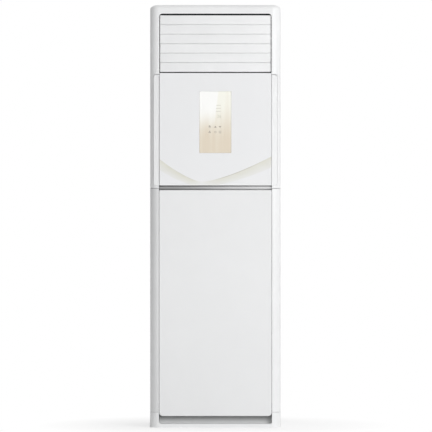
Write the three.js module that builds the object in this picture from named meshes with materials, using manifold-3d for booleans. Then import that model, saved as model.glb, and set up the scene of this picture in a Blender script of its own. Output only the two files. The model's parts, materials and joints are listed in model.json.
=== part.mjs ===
// Floor standing air conditioner: a tall cabinet with a blower below, an inclined coil
// in the middle and a louvred outlet at the top.
// Millimetres, +Z up. The origin is the middle of the footprint, on the floor, and the
// front faces -Y.

import * as THREE from 'three';
import { mergeVertices } from 'three/addons/utils/BufferGeometryUtils.js';
import Module from 'manifold-3d';

const wasm = await Module();
wasm.setup();

// ---------------------------------------------------------------- driving dimensions

const fit = 0.3; // gap between parts that touch
const sheet = 1; // steel sheet
const wall = 3; // moulded plastic wall

// cabinet
const cabinetWidth = 541;
const cabinetDepth = 338;
const cabinetHeight = 1750;
const cornerRadius = 37; // rounded front edges, seen from above
const topRoundWidth = 32; // rounding of the top edge, across
const topRoundHeight = 18; // and down
const postWidth = 36.5; // front posts beside the panels
const postDepth = 60; // how far the moulded front reaches back
const postReturn = 25; // inner edge of a post, front to back
const topCoverHeight = 26;
const sheetReturn = 14; // folded edges of the side panels

// base
const baseHeight = 63;
const baseFlare = 2; // the base spreads this much at the floor
const baseBarHeight = 15;
const baseCornerRadius = 10;
const toePlateRise = 37; // above the base frame
const toePlateSetback = 30; // from the cabinet's front to the foot of the toe plate
const toePlateLean = 18;
const panFlange = 50;
const panSheet = 2;
const beadHeight = 4; // pressed beads in the pan, under the blower stand's feet
const beadWidth = 80;
const beadEndGap = 40;

// lower panel
const lowerPanelDrop = 12.6; // below the base frame's top
const lowerPanelGap = 4.3; // to each post
const lowerPanelReturn = 20;
const lowerPanelCorner = 10;
const lowerPivotRise = 25.6; // above the panel's foot
const lowerPivotSetback = 15;
const lowerPinRadius = 3;

// cross rail in the groove between the panels
const upperHeight = 765; // from the groove's foot to the cabinet's top
const grooveHeight = 15;
const grooveGap = 2; // from the groove to each panel
const grooveDepth = 8;
const midSeamRise = 5; // from the groove's foot to the seam in the posts
const railDepth = 16;
const railOverlap = 15; // the rail's web reaches this far behind each panel
const railShelf = 3;

// upper panel
const carrierSideGap = 14.8; // to the cabinet's side
const carrierTopGap = 9.4; // below the outlet
const carrierInset = 1.5; // the borders lie this much below the posts' surface
const carrierCorner = 10;
const faceSideGap = 2.8; // inside the posts' inner edges
const faceTopGap = 2.4; // below the outlet
const faceProud = 2;
const faceThickness = 3.2;
const windowWidth = 131.6;
const windowHeight = 254.9;
const windowDrop = 68.8; // below the carrier's top
const windowThickness = 3;
const windowAperture = 112; // clear width behind the window
const windowLedge = 10; // the carrier laps the window's ends this much

// display board
const displayBorder = 8; // beyond the aperture
const displayEndGap = 4; // inside the window's ends
const lampWidth = 60;
const lampHeight = 70;
const lampDrop = 40; // below the window's top
const keyRadius = 5;
const keyPitch = 25;
const keyRise = 70; // above the window's foot
const plugSize = 12;
const plugRise = 20;

// outlet
const topBandHeight = 34.4; // over the outlet
const outletCorner = 12;
const outletFrameDepth = 104;
const outletFrameFlange = 8; // above the tube only
const ductWall = 3;

// slats
const slatCount = 6;
const slatPitch = 39.2;
const slatGap = 1;
const slatTopGap = 7; // over the top slat
const slatBottomGap = 4; // under the lowest slat
const slatEndGap = 4.8; // between a slat's end and the outlet frame
const slatThickness = 2.5;
const slatCrown = 1.2; // bulge of the front face
const slatSetback = 1.2; // slat face behind the cabinet's front
const slatArm = 11.3; // from the slat's face to its pivot
const slatPinRadius = 2.5;
const crankRadius = 16;
const crankAngle = 40; // degrees above level when the slats are shut
const crankPinRadius = 1.6;
const linkWidth = 7;
const linkThickness = 2;

// vanes
const vaneCount = 6;
const vaneSideGap = 49; // from the frame to the first and last vane
const vaneChord = 56;
const vaneThickness = 2.4;
const vaneSetback = 73; // pivot line behind the cabinet's front
const vaneCrank = 22;
const vaneEndGap = 4;
const vaneLinkGap = 8; // room for the link over the vanes

// step motors
const stepMotorRadius = 13;
const stepMotorLength = 12;
const stepMotorOffset = 8; // shaft to the body's middle

// outlet duct
const ductDrop = 75; // the duct's foot below its mouth
const ductMouthRise = 5.6; // the mouth's lower lip above the outlet's foot
const ductBend = 150; // radius of the curved back
const ductThickness = 4;
const ductShoulder = 16; // the passage lies this far inside the outlet frame's back face
const ductLug = 40;
const heaterRise = 25; // over the duct's foot
const heaterPlate = 28; // height of its end plates
const heaterRodRadius = 5;
const heaterRods = 3;
const heaterPitch = 28;

// coil
const coilSideRoom = 65.5; // to each side of the cabinet, for the bends and the pipes
const coilThickness = 44;
const coilTopGap = 53; // below the duct
const coilBackGap = 44.5; // behind the middle of its top
const coilFins = 26;
const coilFinThickness = 3;
const coilWeb = 6;
const endPlateThickness = 1.6;
const endPlateOverhang = 3;
const bendCount = 5;
const bendPitch = 100;
const bendRadius = 22;
const coilTubeRadius = 5;

// pipes
const gasPipeRadius = 8;
const liquidPipeRadius = 5;
const sidePipeInset = 18.5; // pipes and drain hose inside the cabinet's sides
const gasPipeSetback = 48; // from the cabinet's back
const liquidPipeSetback = 69;
const gasHeaderDrop = 20; // below the coil's top
const liquidHeaderDrop = 80;
const pipeLead = 12; // straight out of the end plate
const pipeStraight = 60; // straight above the deck
const gasPipeEnd = 300; // heights of the flare nuts
const liquidPipeEnd = 330;
const headerOffset = 14; // pipes leave the end plate behind the return bends
const nutLength = 18;

// drain
const panRise = 107; // over the deck
const panTroughDepth = 19;
const panWall = 3;
const panSetback = 76; // from the cabinet's front
const panDepth = 70;
const panLegWidth = 27;
const panLegSetback = 24; // behind the pan's front
const hoseRadius = 10;
const hoseBore = 7.6;
const hoseSetback = 13; // behind the pan's front
const spoutRadius = 7.2;
const spoutLength = 16;
const hoseBottom = 70;

// deck, partition and electrical box
const deckHeight = 705;
const partitionTopGap = 11.4; // below the outlet
const boxWidth = 340;
const boxHeight = 370;
const boxTopGap = 18; // below the partition's top
const boxDepth = 44;
const boxSheet = 1.2;
const boxEntryRadius = 12;
const boxEntryInset = 40;
const coverSlots = 6;
const coverSlotWidth = 120;
const coverSlotHeight = 4;
const coverSlotPitch = 12;
const coverSlotDrop = 40;

// main board and what stands on it
const boardThickness = 1.6;
const standoff = 8;
const standoffRadius = 3;
const boardSideGap = 18;
const boardEndGap = 20;
const capacitorRadius = 17;
const capacitorHeight = 26;
const capacitorRise = 60;
const transformerSize = 48;
const transformerHeight = 24;
const sinkSize = 70;
const sinkHeight = 18;
const relaySize = 20;
const relayPitch = 26;
const relayCount = 4;
const relayHeight = 14;
const relayRise = 120;
const terminalSize = 26;
const terminalHeight = 16;

// blower
const blowerHeight = 400;
const housingDepth = 153;
const housingSetback = 62; // from the cabinet's back
const housingFrontDepth = 75; // depth of the front half
const housingSideGap = 34.2; // beside the discharge
const tongueGap = 12; // between the wheel and the scroll where it starts
const tongueAngle = 75;
const dischargeLeft = 20;
const inletGap = 4; // inside the blades' inner edges
const inletLip = 8;
const inletFlare = 14;
const wheelRadius = 168;
const bladeDepth = 26;
const bladeCount = 32;
const bladeThickness = 1.4;
const bladeSweep = 16; // degrees
const wheelFrontGap = 11;
const wheelBackGap = 20;
const wheelPlate = 2;
const wheelRing = 5;
const wheelRingWidth = 20;
const hubRadius = 17;
const hubLength = 44;
const shaftRadius = 6;
const shaftNose = 8; // ahead of the hub
const shaftInMotor = 32.4;
const motorRadius = 62;
const motorLength = 46;
const motorNose = 19;
const bracketSheet = 3;
const bracketSize = 230;
const rearHoleRadius = 60;
const standWidth = 260;
const standFoot = 20;

// side intakes
const intakeFrontGap = 38; // behind the front posts
const intakeBackGap = 82; // from the cabinet's back
const intakeRise = 107; // over the base frame
const intakeTopGap = 15; // below the deck
const intakeGap = 0.8;
const intakeBottomGap = 2;
const intakeFlange = 8;
const grilleThickness = 6;
const grilleBorder = 10;
const grilleBars = 15;
const grilleBar = 4;
const grillePivotInset = 3.5; // pivot from the grille's lower outer corner
const grillePinRadius = 1.6;
const filterThickness = 6;
const filterMargin = 5;
const filterRibs = 9;
const filterRib = 2.4;

// back fittings
const pipeHoleInset = 90.5; // from the cabinet's side
const pipeHoleRadius = 35;
const cableHoleInset = 180.5;
const cableHoleRadius = 11;
const backHoleRise = 57; // over the base frame

// ---------------------------------------------------------------- worked-out places

const halfWidth = cabinetWidth / 2;
const frontY = -(cabinetDepth + baseFlare) / 2 + baseFlare;
const backY = frontY + cabinetDepth;
const postInner = halfWidth - postWidth;
const postBackY = frontY + postDepth;
const sideInner = halfWidth - sheet;
const insideHalf = sideInner - fit;
const insideBack = backY - sheet - fit;
const innerFlangeBack = insideBack - sheet - fit;
const coverBottom = cabinetHeight - topCoverHeight;
const backHoleHeight = baseHeight + backHoleRise;
const pipeHoleX = halfWidth - pipeHoleInset;
const cableHoleX = halfWidth - cableHoleInset;
const radians = THREE.MathUtils.degToRad;

const outletTop = cabinetHeight - topBandHeight;
const outletBottom = outletTop - slatTopGap - slatCount * slatPitch - slatBottomGap;
const outletHalfWidth = postInner;

const grooveBottom = cabinetHeight - upperHeight;
const grooveTop = grooveBottom + grooveHeight;
const midSeamHeight = grooveBottom + midSeamRise;
const lowerPanelBottom = baseHeight - lowerPanelDrop;
const lowerPanelTop = grooveBottom - grooveGap;
const lowerPivotHeight = lowerPanelBottom + lowerPivotRise;

const carrierHalfWidth = halfWidth - carrierSideGap;
const carrierBottom = grooveTop + grooveGap;
const carrierTop = outletBottom - carrierTopGap;
const faceHalfWidth = postInner - faceSideGap;
const faceTop = outletBottom - faceTopGap;
const windowTop = carrierTop - windowDrop;
const windowBottom = windowTop - windowHeight;

const intakeFront = postBackY + intakeFrontGap;
const intakeBack = backY - intakeBackGap;
const intakeBottom = baseHeight + intakeRise;
const intakeTop = deckHeight - intakeTopGap;

// ---------------------------------------------------------------- materials

function material(color, roughness, metalness = 0) {
  return new THREE.MeshStandardMaterial({ color, roughness, metalness });
}

const white = material(0xf1f2f2, 0.4);
const warmWhite = material(0xe9e9e6, 0.45);
const glossWhite = material(0xeeeff1, 0.12);
const goldGlass = material(0xdccdb6, 0.08, 0.3);
const charcoal = material(0x2b2c2e, 0.6);
const greyPlastic = material(0xb9bbbc, 0.55);
const galvanised = material(0xa9adb0, 0.4, 0.9);
const aluminium = material(0xc9cdd1, 0.35, 0.9);
const copper = material(0xb8734a, 0.3, 0.95);
const steel = material(0x8d9093, 0.35, 0.95);
const foam = material(0xf4f4f0, 0.9);
const rubber = material(0x1d1e1f, 0.85);
const boardGreen = material(0x2f6b45, 0.5);
const filterBlue = material(0x9fb4c4, 0.8);

// ---------------------------------------------------------------- solids

// A closed geometry as a solid that can be joined and cut.
function solid(geometry) {
  const bare = geometry.clone();
  bare.deleteAttribute('normal');
  bare.deleteAttribute('uv');
  const merged = mergeVertices(bare, 1e-4);
  return new wasm.Manifold(new wasm.Mesh({
    numProp: 3,
    vertProperties: Float32Array.from(merged.attributes.position.array),
    triVerts: Uint32Array.from(merged.index.array),
  }));
}

// A solid's surface as a geometry again.
function surface(form) {
  const mesh = form.getMesh();
  const geometry = new THREE.BufferGeometry();
  geometry.setAttribute('position', new THREE.BufferAttribute(mesh.vertProperties, 3));
  geometry.setIndex(new THREE.BufferAttribute(mesh.triVerts, 1));
  geometry.computeVertexNormals();
  return geometry;
}

function join(...forms) {
  return forms.flat().reduce((whole, next) => whole.add(next));
}

function cut(form, ...tools) {
  return tools.flat().reduce((left, tool) => left.subtract(tool), form);
}

function block([x0, x1], [y0, y1], [z0, z1]) {
  const geometry = new THREE.BoxGeometry(x1 - x0, y1 - y0, z1 - z0);
  return solid(geometry.translate((x0 + x1) / 2, (y0 + y1) / 2, (z0 + z1) / 2));
}

// A round bar along an axis: `at` holds the two other coordinates, in x, y, z order.
function rod(axis, radius, [from, to], [a, b], sides = 20) {
  const geometry = new THREE.CylinderGeometry(radius, radius, to - from, sides);
  const middle = (from + to) / 2;
  if (axis === 'x') geometry.rotateZ(Math.PI / 2).translate(middle, a, b);
  if (axis === 'y') geometry.translate(a, middle, b);
  if (axis === 'z') geometry.rotateX(Math.PI / 2).translate(a, b, middle);
  return solid(geometry);
}

// Extrusions of a flat shape: drawn in YZ and pushed along X, and so on.
const drawnInYZ = new THREE.Matrix4().makeBasis(
  new THREE.Vector3(0, 1, 0), new THREE.Vector3(0, 0, 1), new THREE.Vector3(1, 0, 0));
const drawnInXZ = new THREE.Matrix4().makeBasis(
  new THREE.Vector3(1, 0, 0), new THREE.Vector3(0, 0, 1), new THREE.Vector3(0, -1, 0));

function extrude(shape, depth, curveSegments = 3) {
  return new THREE.ExtrudeGeometry(shape, { depth, bevelEnabled: false, curveSegments });
}

function alongX(shape, [x0, x1]) {
  return solid(extrude(shape, x1 - x0).applyMatrix4(drawnInYZ).translate(x0, 0, 0));
}

function alongY(shape, [y0, y1], curveSegments) {
  return solid(extrude(shape, y1 - y0, curveSegments).applyMatrix4(drawnInXZ).translate(0, y1, 0));
}

function alongZ(shape, [z0, z1]) {
  return solid(extrude(shape, z1 - z0).translate(0, 0, z0));
}

function polygon(points) {
  return new THREE.Shape(points.map(([u, v]) => new THREE.Vector2(u, v)));
}

// A rectangle with its own radius at the bottom and at the top corners.
function roundedRect([u0, u1], [v0, v1], low, high = low) {
  const shape = new THREE.Shape();
  shape.moveTo(u0 + low, v0);
  shape.lineTo(u1 - low, v0);
  if (low) shape.absarc(u1 - low, v0 + low, low, -Math.PI / 2, 0);
  shape.lineTo(u1, v1 - high);
  if (high) shape.absarc(u1 - high, v1 - high, high, 0, Math.PI / 2);
  shape.lineTo(u0 + high, v1);
  if (high) shape.absarc(u0 + high, v1 - high, high, Math.PI / 2, Math.PI);
  shape.lineTo(u0, v0 + low);
  if (low) shape.absarc(u0 + low, v0 + low, low, Math.PI, Math.PI * 1.5);
  return shape;
}

// A ring about an axis parallel to Y, drawn as [radius, y] points.
function ringAlongY(profile, [x, z], sides = 40) {
  const points = profile.map(([radius, y]) => new THREE.Vector2(radius, y));
  if (THREE.ShapeUtils.isClockWise(points)) points.reverse();
  points.push(points[0].clone());
  return solid(new THREE.LatheGeometry(points, sides).translate(x, 0, z));
}

// A round bar bent along a path.
function bentRod(points, radius, steps, sides) {
  const path = new THREE.CatmullRomCurve3(points, false, 'centripetal');
  const section = new THREE.Shape().absarc(0, 0, radius, 0, Math.PI * 2);
  return solid(new THREE.ExtrudeGeometry(section, {
    steps, bevelEnabled: false, extrudePath: path, curveSegments: sides,
  }));
}

function mesh(name, form, look) {
  const made = new THREE.Mesh(surface(form), look);
  made.name = name;
  return made;
}

function mirrorX(form) {
  return form.mirror([1, 0, 0]);
}

// The cabinet's outer form, taken in by `inset` on every side, open-ended at the back.
function cabinetForm(inset) {
  const half = halfWidth - inset;
  const front = frontY + inset;
  const radius = cornerRadius - inset;
  const overrun = backY + 2 * topRoundWidth;
  const plan = new THREE.Shape();
  plan.moveTo(-half, overrun);
  plan.lineTo(-half, front + radius);
  plan.absarc(-half + radius, front + radius, radius, Math.PI, Math.PI * 1.5);
  plan.lineTo(half - radius, front);
  plan.absarc(half - radius, front + radius, radius, Math.PI * 1.5, Math.PI * 2);
  plan.lineTo(half, overrun);
  const below = 2 * topRoundHeight;
  const bevelSize = topRoundWidth - inset;
  return solid(new THREE.ExtrudeGeometry(plan, {
    depth: cabinetHeight - inset - topRoundHeight + below,
    bevelEnabled: true,
    bevelThickness: topRoundHeight,
    bevelSize,
    bevelOffset: -bevelSize,
    bevelSegments: 4,
    curveSegments: 4,
  }).translate(0, 0, -below));
}

const outerForm = cabinetForm(0);
const innerForm = cabinetForm(wall);
const cabinetShell = cut(outerForm, innerForm);

// ---------------------------------------------------------------- base

function baseFrame() {
  const reach = halfWidth + baseFlare;
  const below = cut(outerForm, block([-reach, reach], [frontY, 2 * backY], [baseHeight, cabinetHeight + 1]),
    block([-reach, reach], [frontY - 1, 2 * backY], [-cabinetHeight, 0]));
  const flared = surface(below.intersect(block([-reach, reach], [frontY - 1, backY], [0, baseHeight])));
  const places = flared.attributes.position;
  for (let i = 0; i < places.count; i++) {
    const spread = baseFlare * (1 - places.getZ(i) / baseHeight);
    const y = places.getY(i);
    places.setX(i, places.getX(i) * (1 + spread / halfWidth));
    places.setY(i, y < postBackY ? y - spread * Math.min(1, (postBackY - y) / cornerRadius) : y);
  }
  const opening = alongY(roundedRect([-postInner, postInner], [baseBarHeight, baseHeight + baseCornerRadius],
    baseCornerRadius), [frontY - baseFlare - 1, frontY + wall + 1]);
  const ledge = block([-postInner - wall, postInner + wall],
    [frontY + 1, frontY + toePlateSetback - fit], [baseBarHeight - wall, baseBarHeight]);
  const returns = [-1, 1].map((side) => {
    const x = [side * postInner, side * (postInner + wall)].sort((a, b) => a - b);
    return block(x, [frontY + 1, frontY + toePlateSetback - fit], [baseBarHeight - wall, baseHeight]);
  });
  return join(cut(solid(flared), innerForm, opening), ledge, returns);
}

function basePan() {
  const half = halfWidth - wall - fit;
  const front = frontY + cornerRadius;
  const back = insideBack;
  const tray = block([-half, half], [front, back], [0, panFlange]);
  const hollow = block([-half + panSheet, half - panSheet],
    [front - 1, back - panSheet], [panSheet, panFlange + 1]);
  const beads = [-1, 1].map((side) => {
    const middle = side * (standWidth / 2 + standFoot);
    return block([middle - beadWidth / 2, middle + beadWidth / 2],
      [front + beadEndGap, back - beadEndGap], [panSheet / 2, panSheet + beadHeight]);
  });
  return join(cut(tray, hollow), beads);
}

function toePlate() {
  const foot = frontY + toePlateSetback;
  const bottom = panSheet + fit;
  const top = baseHeight + toePlateRise;
  const half = halfWidth - wall - 2 * fit - panSheet;
  return alongX(polygon([[foot, bottom], [foot + wall - 2 * fit, bottom],
    [foot + wall + toePlateLean, top], [foot + toePlateLean, top]]), [-half, half]);
}

// ---------------------------------------------------------------- casing

function lowerPost(side) {
  const height = [baseHeight + fit, midSeamHeight - fit];
  const skin = cabinetShell.intersect(block([postInner, halfWidth], [frontY, postBackY], height));
  const edge = block([postInner, postInner + wall], [frontY + 1, frontY + postReturn], height);
  const pivot = rod('x', lowerPinRadius + 2 * fit, [postInner - 1, postInner + wall + 1],
    [frontY + lowerPivotSetback, lowerPivotHeight]);
  const right = cut(join(skin, edge), pivot);
  return side > 0 ? right : mirrorX(right);
}

function upperFrontFrame() {
  const skin = cabinetShell.intersect(
    block([-halfWidth, halfWidth], [frontY, postBackY], [midSeamHeight, cabinetHeight]));
  const outlet = alongY(roundedRect([-outletHalfWidth + 2, outletHalfWidth - 2],
    [carrierTop - 20, outletTop], 0, outletCorner), [frontY - 1, frontY + wall + 1]);
  const panelHalf = carrierHalfWidth + fit;
  const panelGap = alongY(roundedRect([-panelHalf, panelHalf],
    [carrierBottom - fit, carrierTop + fit], carrierCorner), [frontY - 1, frontY + postReturn]);
  const foot = block([-postInner, postInner], [frontY - 1, frontY + postReturn],
    [midSeamHeight - 1, carrierBottom + carrierCorner]);
  return cut(skin, outlet, panelGap, foot);
}

function topCover() {
  const height = [coverBottom, cabinetHeight];
  const skin = cabinetShell.intersect(block([-halfWidth, halfWidth], [postBackY + fit, backY], height));
  const rear = outerForm.intersect(block([-halfWidth, halfWidth], [backY - wall, backY], height));
  return join(skin, rear);
}

function sidePanel(side) {
  const height = [baseHeight + fit, coverBottom - fit];
  const front = postBackY + fit;
  const skin = block([sideInner, halfWidth], [front, backY], height);
  const rooted = halfWidth - sheet / 2; // folds start inside the skin
  const returns = [
    block([sideInner - sheetReturn, rooted], [front, front + sheet], height),
    block([sideInner - sheetReturn, rooted], [innerFlangeBack, innerFlangeBack + sheet], height),
  ];
  const collar = block([sideInner - intakeFlange, rooted],
    [intakeFront - sheet, intakeBack + sheet], [intakeBottom - sheet, intakeTop + sheet]);
  const opening = block([sideInner - intakeFlange - 1, halfWidth + 1],
    [intakeFront, intakeBack], [intakeBottom, intakeTop]);
  const pins = rod('y', grillePinRadius + 0.5, [intakeFront - 4, intakeBack + 4],
    [grillePivotX, grillePivotZ], 12);
  const right = cut(join(skin, returns, collar), opening, pins);
  return side > 0 ? right : mirrorX(right);
}

function backPanel() {
  const low = halfWidth - wall - fit; // between the base frame's walls
  const skin = join(
    block([-insideHalf, insideHalf], [backY - sheet, backY], [baseHeight + fit, coverBottom - fit]),
    block([-low, low], [backY - sheet, backY], [panSheet + fit, baseHeight + 1]));
  const holes = [
    rod('y', pipeHoleRadius, [insideBack, backY + 1], [pipeHoleX, backHoleHeight], 32),
    rod('y', cableHoleRadius, [insideBack, backY + 1], [cableHoleX, backHoleHeight]),
  ];
  return cut(skin, holes);
}

// A grommet that lines a hole in the back panel.
function grommet(x, radius, depth) {
  const outer = radius - fit;
  const inner = radius - 3 - fit;
  const inside = backY - sheet - fit;
  return ringAlongY([[inner, inside - depth], [inner, backY], [outer, backY],
    [outer, inside], [radius + 4, inside], [radius + 4, inside - depth]], [x, backHoleHeight], 28);
}

// ---------------------------------------------------------------- panels

function lowerPanel() {
  const half = postInner - lowerPanelGap;
  const outline = (inset) => roundedRect([-half + inset, half - inset],
    [lowerPanelBottom + inset, lowerPanelTop - inset], lowerPanelCorner - inset, 4 - inset);
  const tray = cut(alongY(outline(0), [frontY, frontY + lowerPanelReturn]),
    alongY(outline(sheet), [frontY + sheet, frontY + lowerPanelReturn + 1]));
  const pins = [-1, 1].map((side) => {
    const reach = [side * (half - 1), side * (postInner + wall - 1)].sort((a, b) => a - b);
    return rod('x', lowerPinRadius, reach, [frontY + lowerPivotSetback, lowerPivotHeight]);
  });
  return join(tray, pins);
}

function crossRail() {
  const lip = frontY + grooveDepth;
  const web = frontY + lowerPanelReturn + 2;
  const low = grooveBottom + railShelf;
  const high = grooveTop - railShelf;
  return alongX(polygon([
    [lip, low], [web, low], [web, grooveBottom - railOverlap],
    [web + railDepth, grooveBottom - railOverlap], [web + railDepth, grooveTop + railOverlap],
    [web, grooveTop + railOverlap], [web, high], [lip, high]]),
  [-postInner + fit, postInner - fit]);
}

function panelCarrier() {
  const front = cabinetForm(carrierInset);
  const back = cabinetForm(carrierInset + wall);
  const outline = alongY(roundedRect([-carrierHalfWidth, carrierHalfWidth],
    [carrierBottom, carrierTop], carrierCorner), [frontY, frontY + postReturn]);
  const aperture = block([-windowAperture / 2, windowAperture / 2], [frontY, frontY + postReturn],
    [windowBottom + windowLedge, windowTop - windowLedge]);
  return cut(cut(front, back).intersect(outline), aperture);
}

function faceSheet() {
  const reach = [frontY - faceProud, frontY - faceProud + faceThickness];
  const outline = roundedRect([-faceHalfWidth, faceHalfWidth], [carrierBottom, faceTop], 3);
  const half = windowWidth / 2 + fit;
  const seat = block([-half, half], [reach[0] - 1, reach[1] + 1], [windowBottom - fit, windowTop + fit]);
  return cut(alongY(outline, reach), seat);
}

function displayWindow() {
  const front = frontY - faceProud;
  return alongY(roundedRect([-windowWidth / 2, windowWidth / 2], [windowBottom, windowTop], 2),
    [front, front + windowThickness]);
}

function displayBoard() {
  const face = frontY + carrierInset + wall + fit;
  const half = windowAperture / 2;
  const board = block([-half - displayBorder, half + displayBorder], [face, face + boardThickness],
    [windowBottom + displayEndGap, windowTop - displayEndGap]);
  const lampTop = windowTop - lampDrop;
  const lamps = block([-lampWidth / 2, lampWidth / 2], [face - 2, face + 0.5],
    [lampTop - lampHeight, lampTop]);
  const keys = [-1, 0, 1].map((column) => rod('y', keyRadius, [face - 2, face + 0.5],
    [column * keyPitch, windowBottom + keyRise], 12));
  const plug = block([-plugSize, plugSize], [face + 1, face + 8],
    [windowBottom + plugRise, windowBottom + plugRise + plugSize]);
  return join(board, lamps, keys, plug);
}

// ---------------------------------------------------------------- outlet, slats and vanes

const slatPivotY = frontY + slatSetback + slatArm;
const slatHalf = outletHalfWidth - slatEndGap;
const frameFront = frontY + wall + 2 * fit;
const frameBack = frameFront + outletFrameDepth;
const frameBottom = outletBottom - 3.4; // inner faces of the outlet frame
const frameTop = outletTop + 3.4;
const vanePivotY = frontY + vaneSetback;

const vanePitch = 2 * (outletHalfWidth - vaneSideGap) / (vaneCount - 1);

function slatHeightAt(number) {
  return outletTop - slatTopGap - (number - 0.5) * slatPitch;
}

function vanePlace(number) {
  return (number - (vaneCount + 1) / 2) * vanePitch;
}

function outletFrame() {
  const inner = outletHalfWidth;
  const tube = block([-inner - ductWall, inner + ductWall], [frameFront, frameBack],
    [frameBottom - ductWall, frameTop + ductWall]);
  const flange = block([-inner - ductWall, inner + ductWall],
    [frameFront, frameFront + wall], [frameTop, frameTop + outletFrameFlange]);
  const passage = block([-inner, inner], [frameFront - 1, frameBack + 1], [frameBottom, frameTop]);
  const slatHoles = [];
  for (let number = 1; number <= slatCount; number++) {
    slatHoles.push(rod('x', slatPinRadius + 0.4, [-inner - ductWall - 1, inner + ductWall + 1],
      [slatPivotY, slatHeightAt(number)], 8));
  }
  const vaneHoles = [];
  for (let number = 1; number <= vaneCount; number++) {
    vaneHoles.push(rod('z', slatPinRadius + 0.4, [frameBottom - ductWall - 1, frameTop + ductWall + 1],
      [vanePlace(number), vanePivotY], 8));
  }
  return cut(join(tube, flange), passage, slatHoles, vaneHoles);
}

// A slat lies about its own pivot line. The first one is the one the motor turns.
function slat(isLead) {
  const half = slatPitch / 2 - slatGap / 2;
  const blade = new THREE.Shape();
  blade.moveTo(-slatArm + slatCrown, -half);
  blade.quadraticCurveTo(-slatArm - slatCrown, 0, -slatArm + slatCrown, half);
  blade.lineTo(-slatArm + slatCrown + slatThickness, half);
  blade.lineTo(-slatArm + slatThickness, 0);
  blade.lineTo(-slatArm + slatCrown + slatThickness, -half);
  const cheek = polygon([[-slatArm + slatThickness - 1, -12], [slatPinRadius + 1.5, -4],
    [slatPinRadius + 1.5, 4], [-slatArm + slatThickness - 1, 12]]);
  const ends = [-1, 1].map((side) => {
    const reach = [side * slatHalf, side * (slatHalf - wall)].sort((a, b) => a - b);
    return alongX(cheek, reach);
  });
  const pinReach = slatHalf + slatEndGap + ductWall;
  const pins = [
    rod('x', slatPinRadius, [slatHalf - 1, pinReach - 0.5], [0, 0], 8),
    rod('x', slatPinRadius, [isLead ? -pinReach - 6 : -pinReach + 0.5, -slatHalf + 1], [0, 0], 8),
  ];
  const y = crankRadius * Math.cos(radians(crankAngle));
  const z = crankRadius * Math.sin(radians(crankAngle));
  const arm = alongX(polygon([[0, -3], [y + 3, z - 2], [y + 2, z + 3], [-3, 3]]),
    [slatHalf - wall, slatHalf]);
  const crankPin = rod('x', crankPinRadius, [slatHalf - 1, slatHalf + slatEndGap - 0.8], [y, z], 8);
  return join(alongX(blade, [-slatHalf, slatHalf]), ends, pins, arm, crankPin);
}

// The link lies about the lead slat's crank pin and hangs down to the lowest one.
function slatLink() {
  const length = (slatCount - 1) * slatPitch;
  const reach = [slatHalf + 1.2, slatHalf + 1.2 + linkThickness];
  const bar = alongX(roundedRect([-linkWidth / 2, linkWidth / 2],
    [-length - linkWidth / 2, linkWidth / 2], linkWidth / 2 - 0.1), reach);
  const holes = [];
  for (let number = 0; number < slatCount; number++) {
    holes.push(rod('x', crankPinRadius + fit, [reach[0] - 1, reach[1] + 1], [0, -number * slatPitch], 8));
  }
  return cut(bar, holes);
}

const vaneBottom = frameBottom + vaneEndGap;
const vaneTop = frameTop - vaneLinkGap;

function vane(isLead) {
  const half = vaneChord / 2;
  const thick = vaneThickness / 2;
  const blade = alongZ(polygon([[-thick / 2, -half], [thick / 2, -half], [thick, -half / 2],
    [thick, half], [-thick, half], [-thick, -half / 2]]), [vaneBottom, vaneTop]);
  const spine = rod('z', slatPinRadius + 0.8, [vaneBottom, vaneTop], [0, 0], 8);
  const pins = rod('z', slatPinRadius,
    [frameBottom - ductWall + 0.5, frameTop + (isLead ? ductWall + 6 : ductWall - 0.5)], [0, 0], 8);
  const crankPin = rod('z', crankPinRadius, [vaneTop - 1, frameTop - 1.5], [0, vaneCrank], 8);
  return join(blade, spine, pins, crankPin);
}

// The link lies about the first vane's crank pin.
function vaneLink() {
  const length = (vaneCount - 1) * vanePitch;
  const height = [vaneTop + 1.5, vaneTop + 1.5 + linkThickness];
  const bar = alongZ(roundedRect([-linkWidth / 2, length + linkWidth / 2],
    [-linkWidth / 2, linkWidth / 2], linkWidth / 2 - 0.1), height);
  const holes = [];
  for (let number = 0; number < vaneCount; number++) {
    holes.push(rod('z', crankPinRadius + fit, [height[0] - 1, height[1] + 1], [number * vanePitch, 0], 8));
  }
  return cut(bar, holes);
}

function slatMotor() {
  const outside = -outletHalfWidth - ductWall - fit;
  const bodyY = slatPivotY + stepMotorOffset;
  const z = slatHeightAt(1);
  const body = rod('x', stepMotorRadius, [outside - stepMotorLength, outside], [bodyY, z], 20);
  const ears = block([outside - 1.5, outside], [bodyY - 3.5, bodyY + 3.5], [z - 20, z + 20]);
  const bore = rod('x', slatPinRadius + 0.4, [outside - 9, outside + 1], [slatPivotY, z], 12);
  return cut(join(body, ears), bore);
}

function vaneMotor() {
  const outside = frameTop + ductWall + fit;
  const bodyY = vanePivotY + stepMotorOffset;
  const x = vanePlace(1);
  const body = rod('z', stepMotorRadius, [outside, outside + stepMotorLength], [x, bodyY], 20);
  const ears = block([x - 20, x + 20], [bodyY - 3.5, bodyY + 3.5], [outside, outside + 1.5]);
  const bore = rod('z', slatPinRadius + 0.4, [outside - 1, outside + 9], [x, vanePivotY], 12);
  return cut(join(body, ears), bore);
}

// ---------------------------------------------------------------- outlet duct and heater

const ductMouthBottom = outletBottom + ductMouthRise;
const ductBottom = ductMouthBottom - ductDrop;

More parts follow.
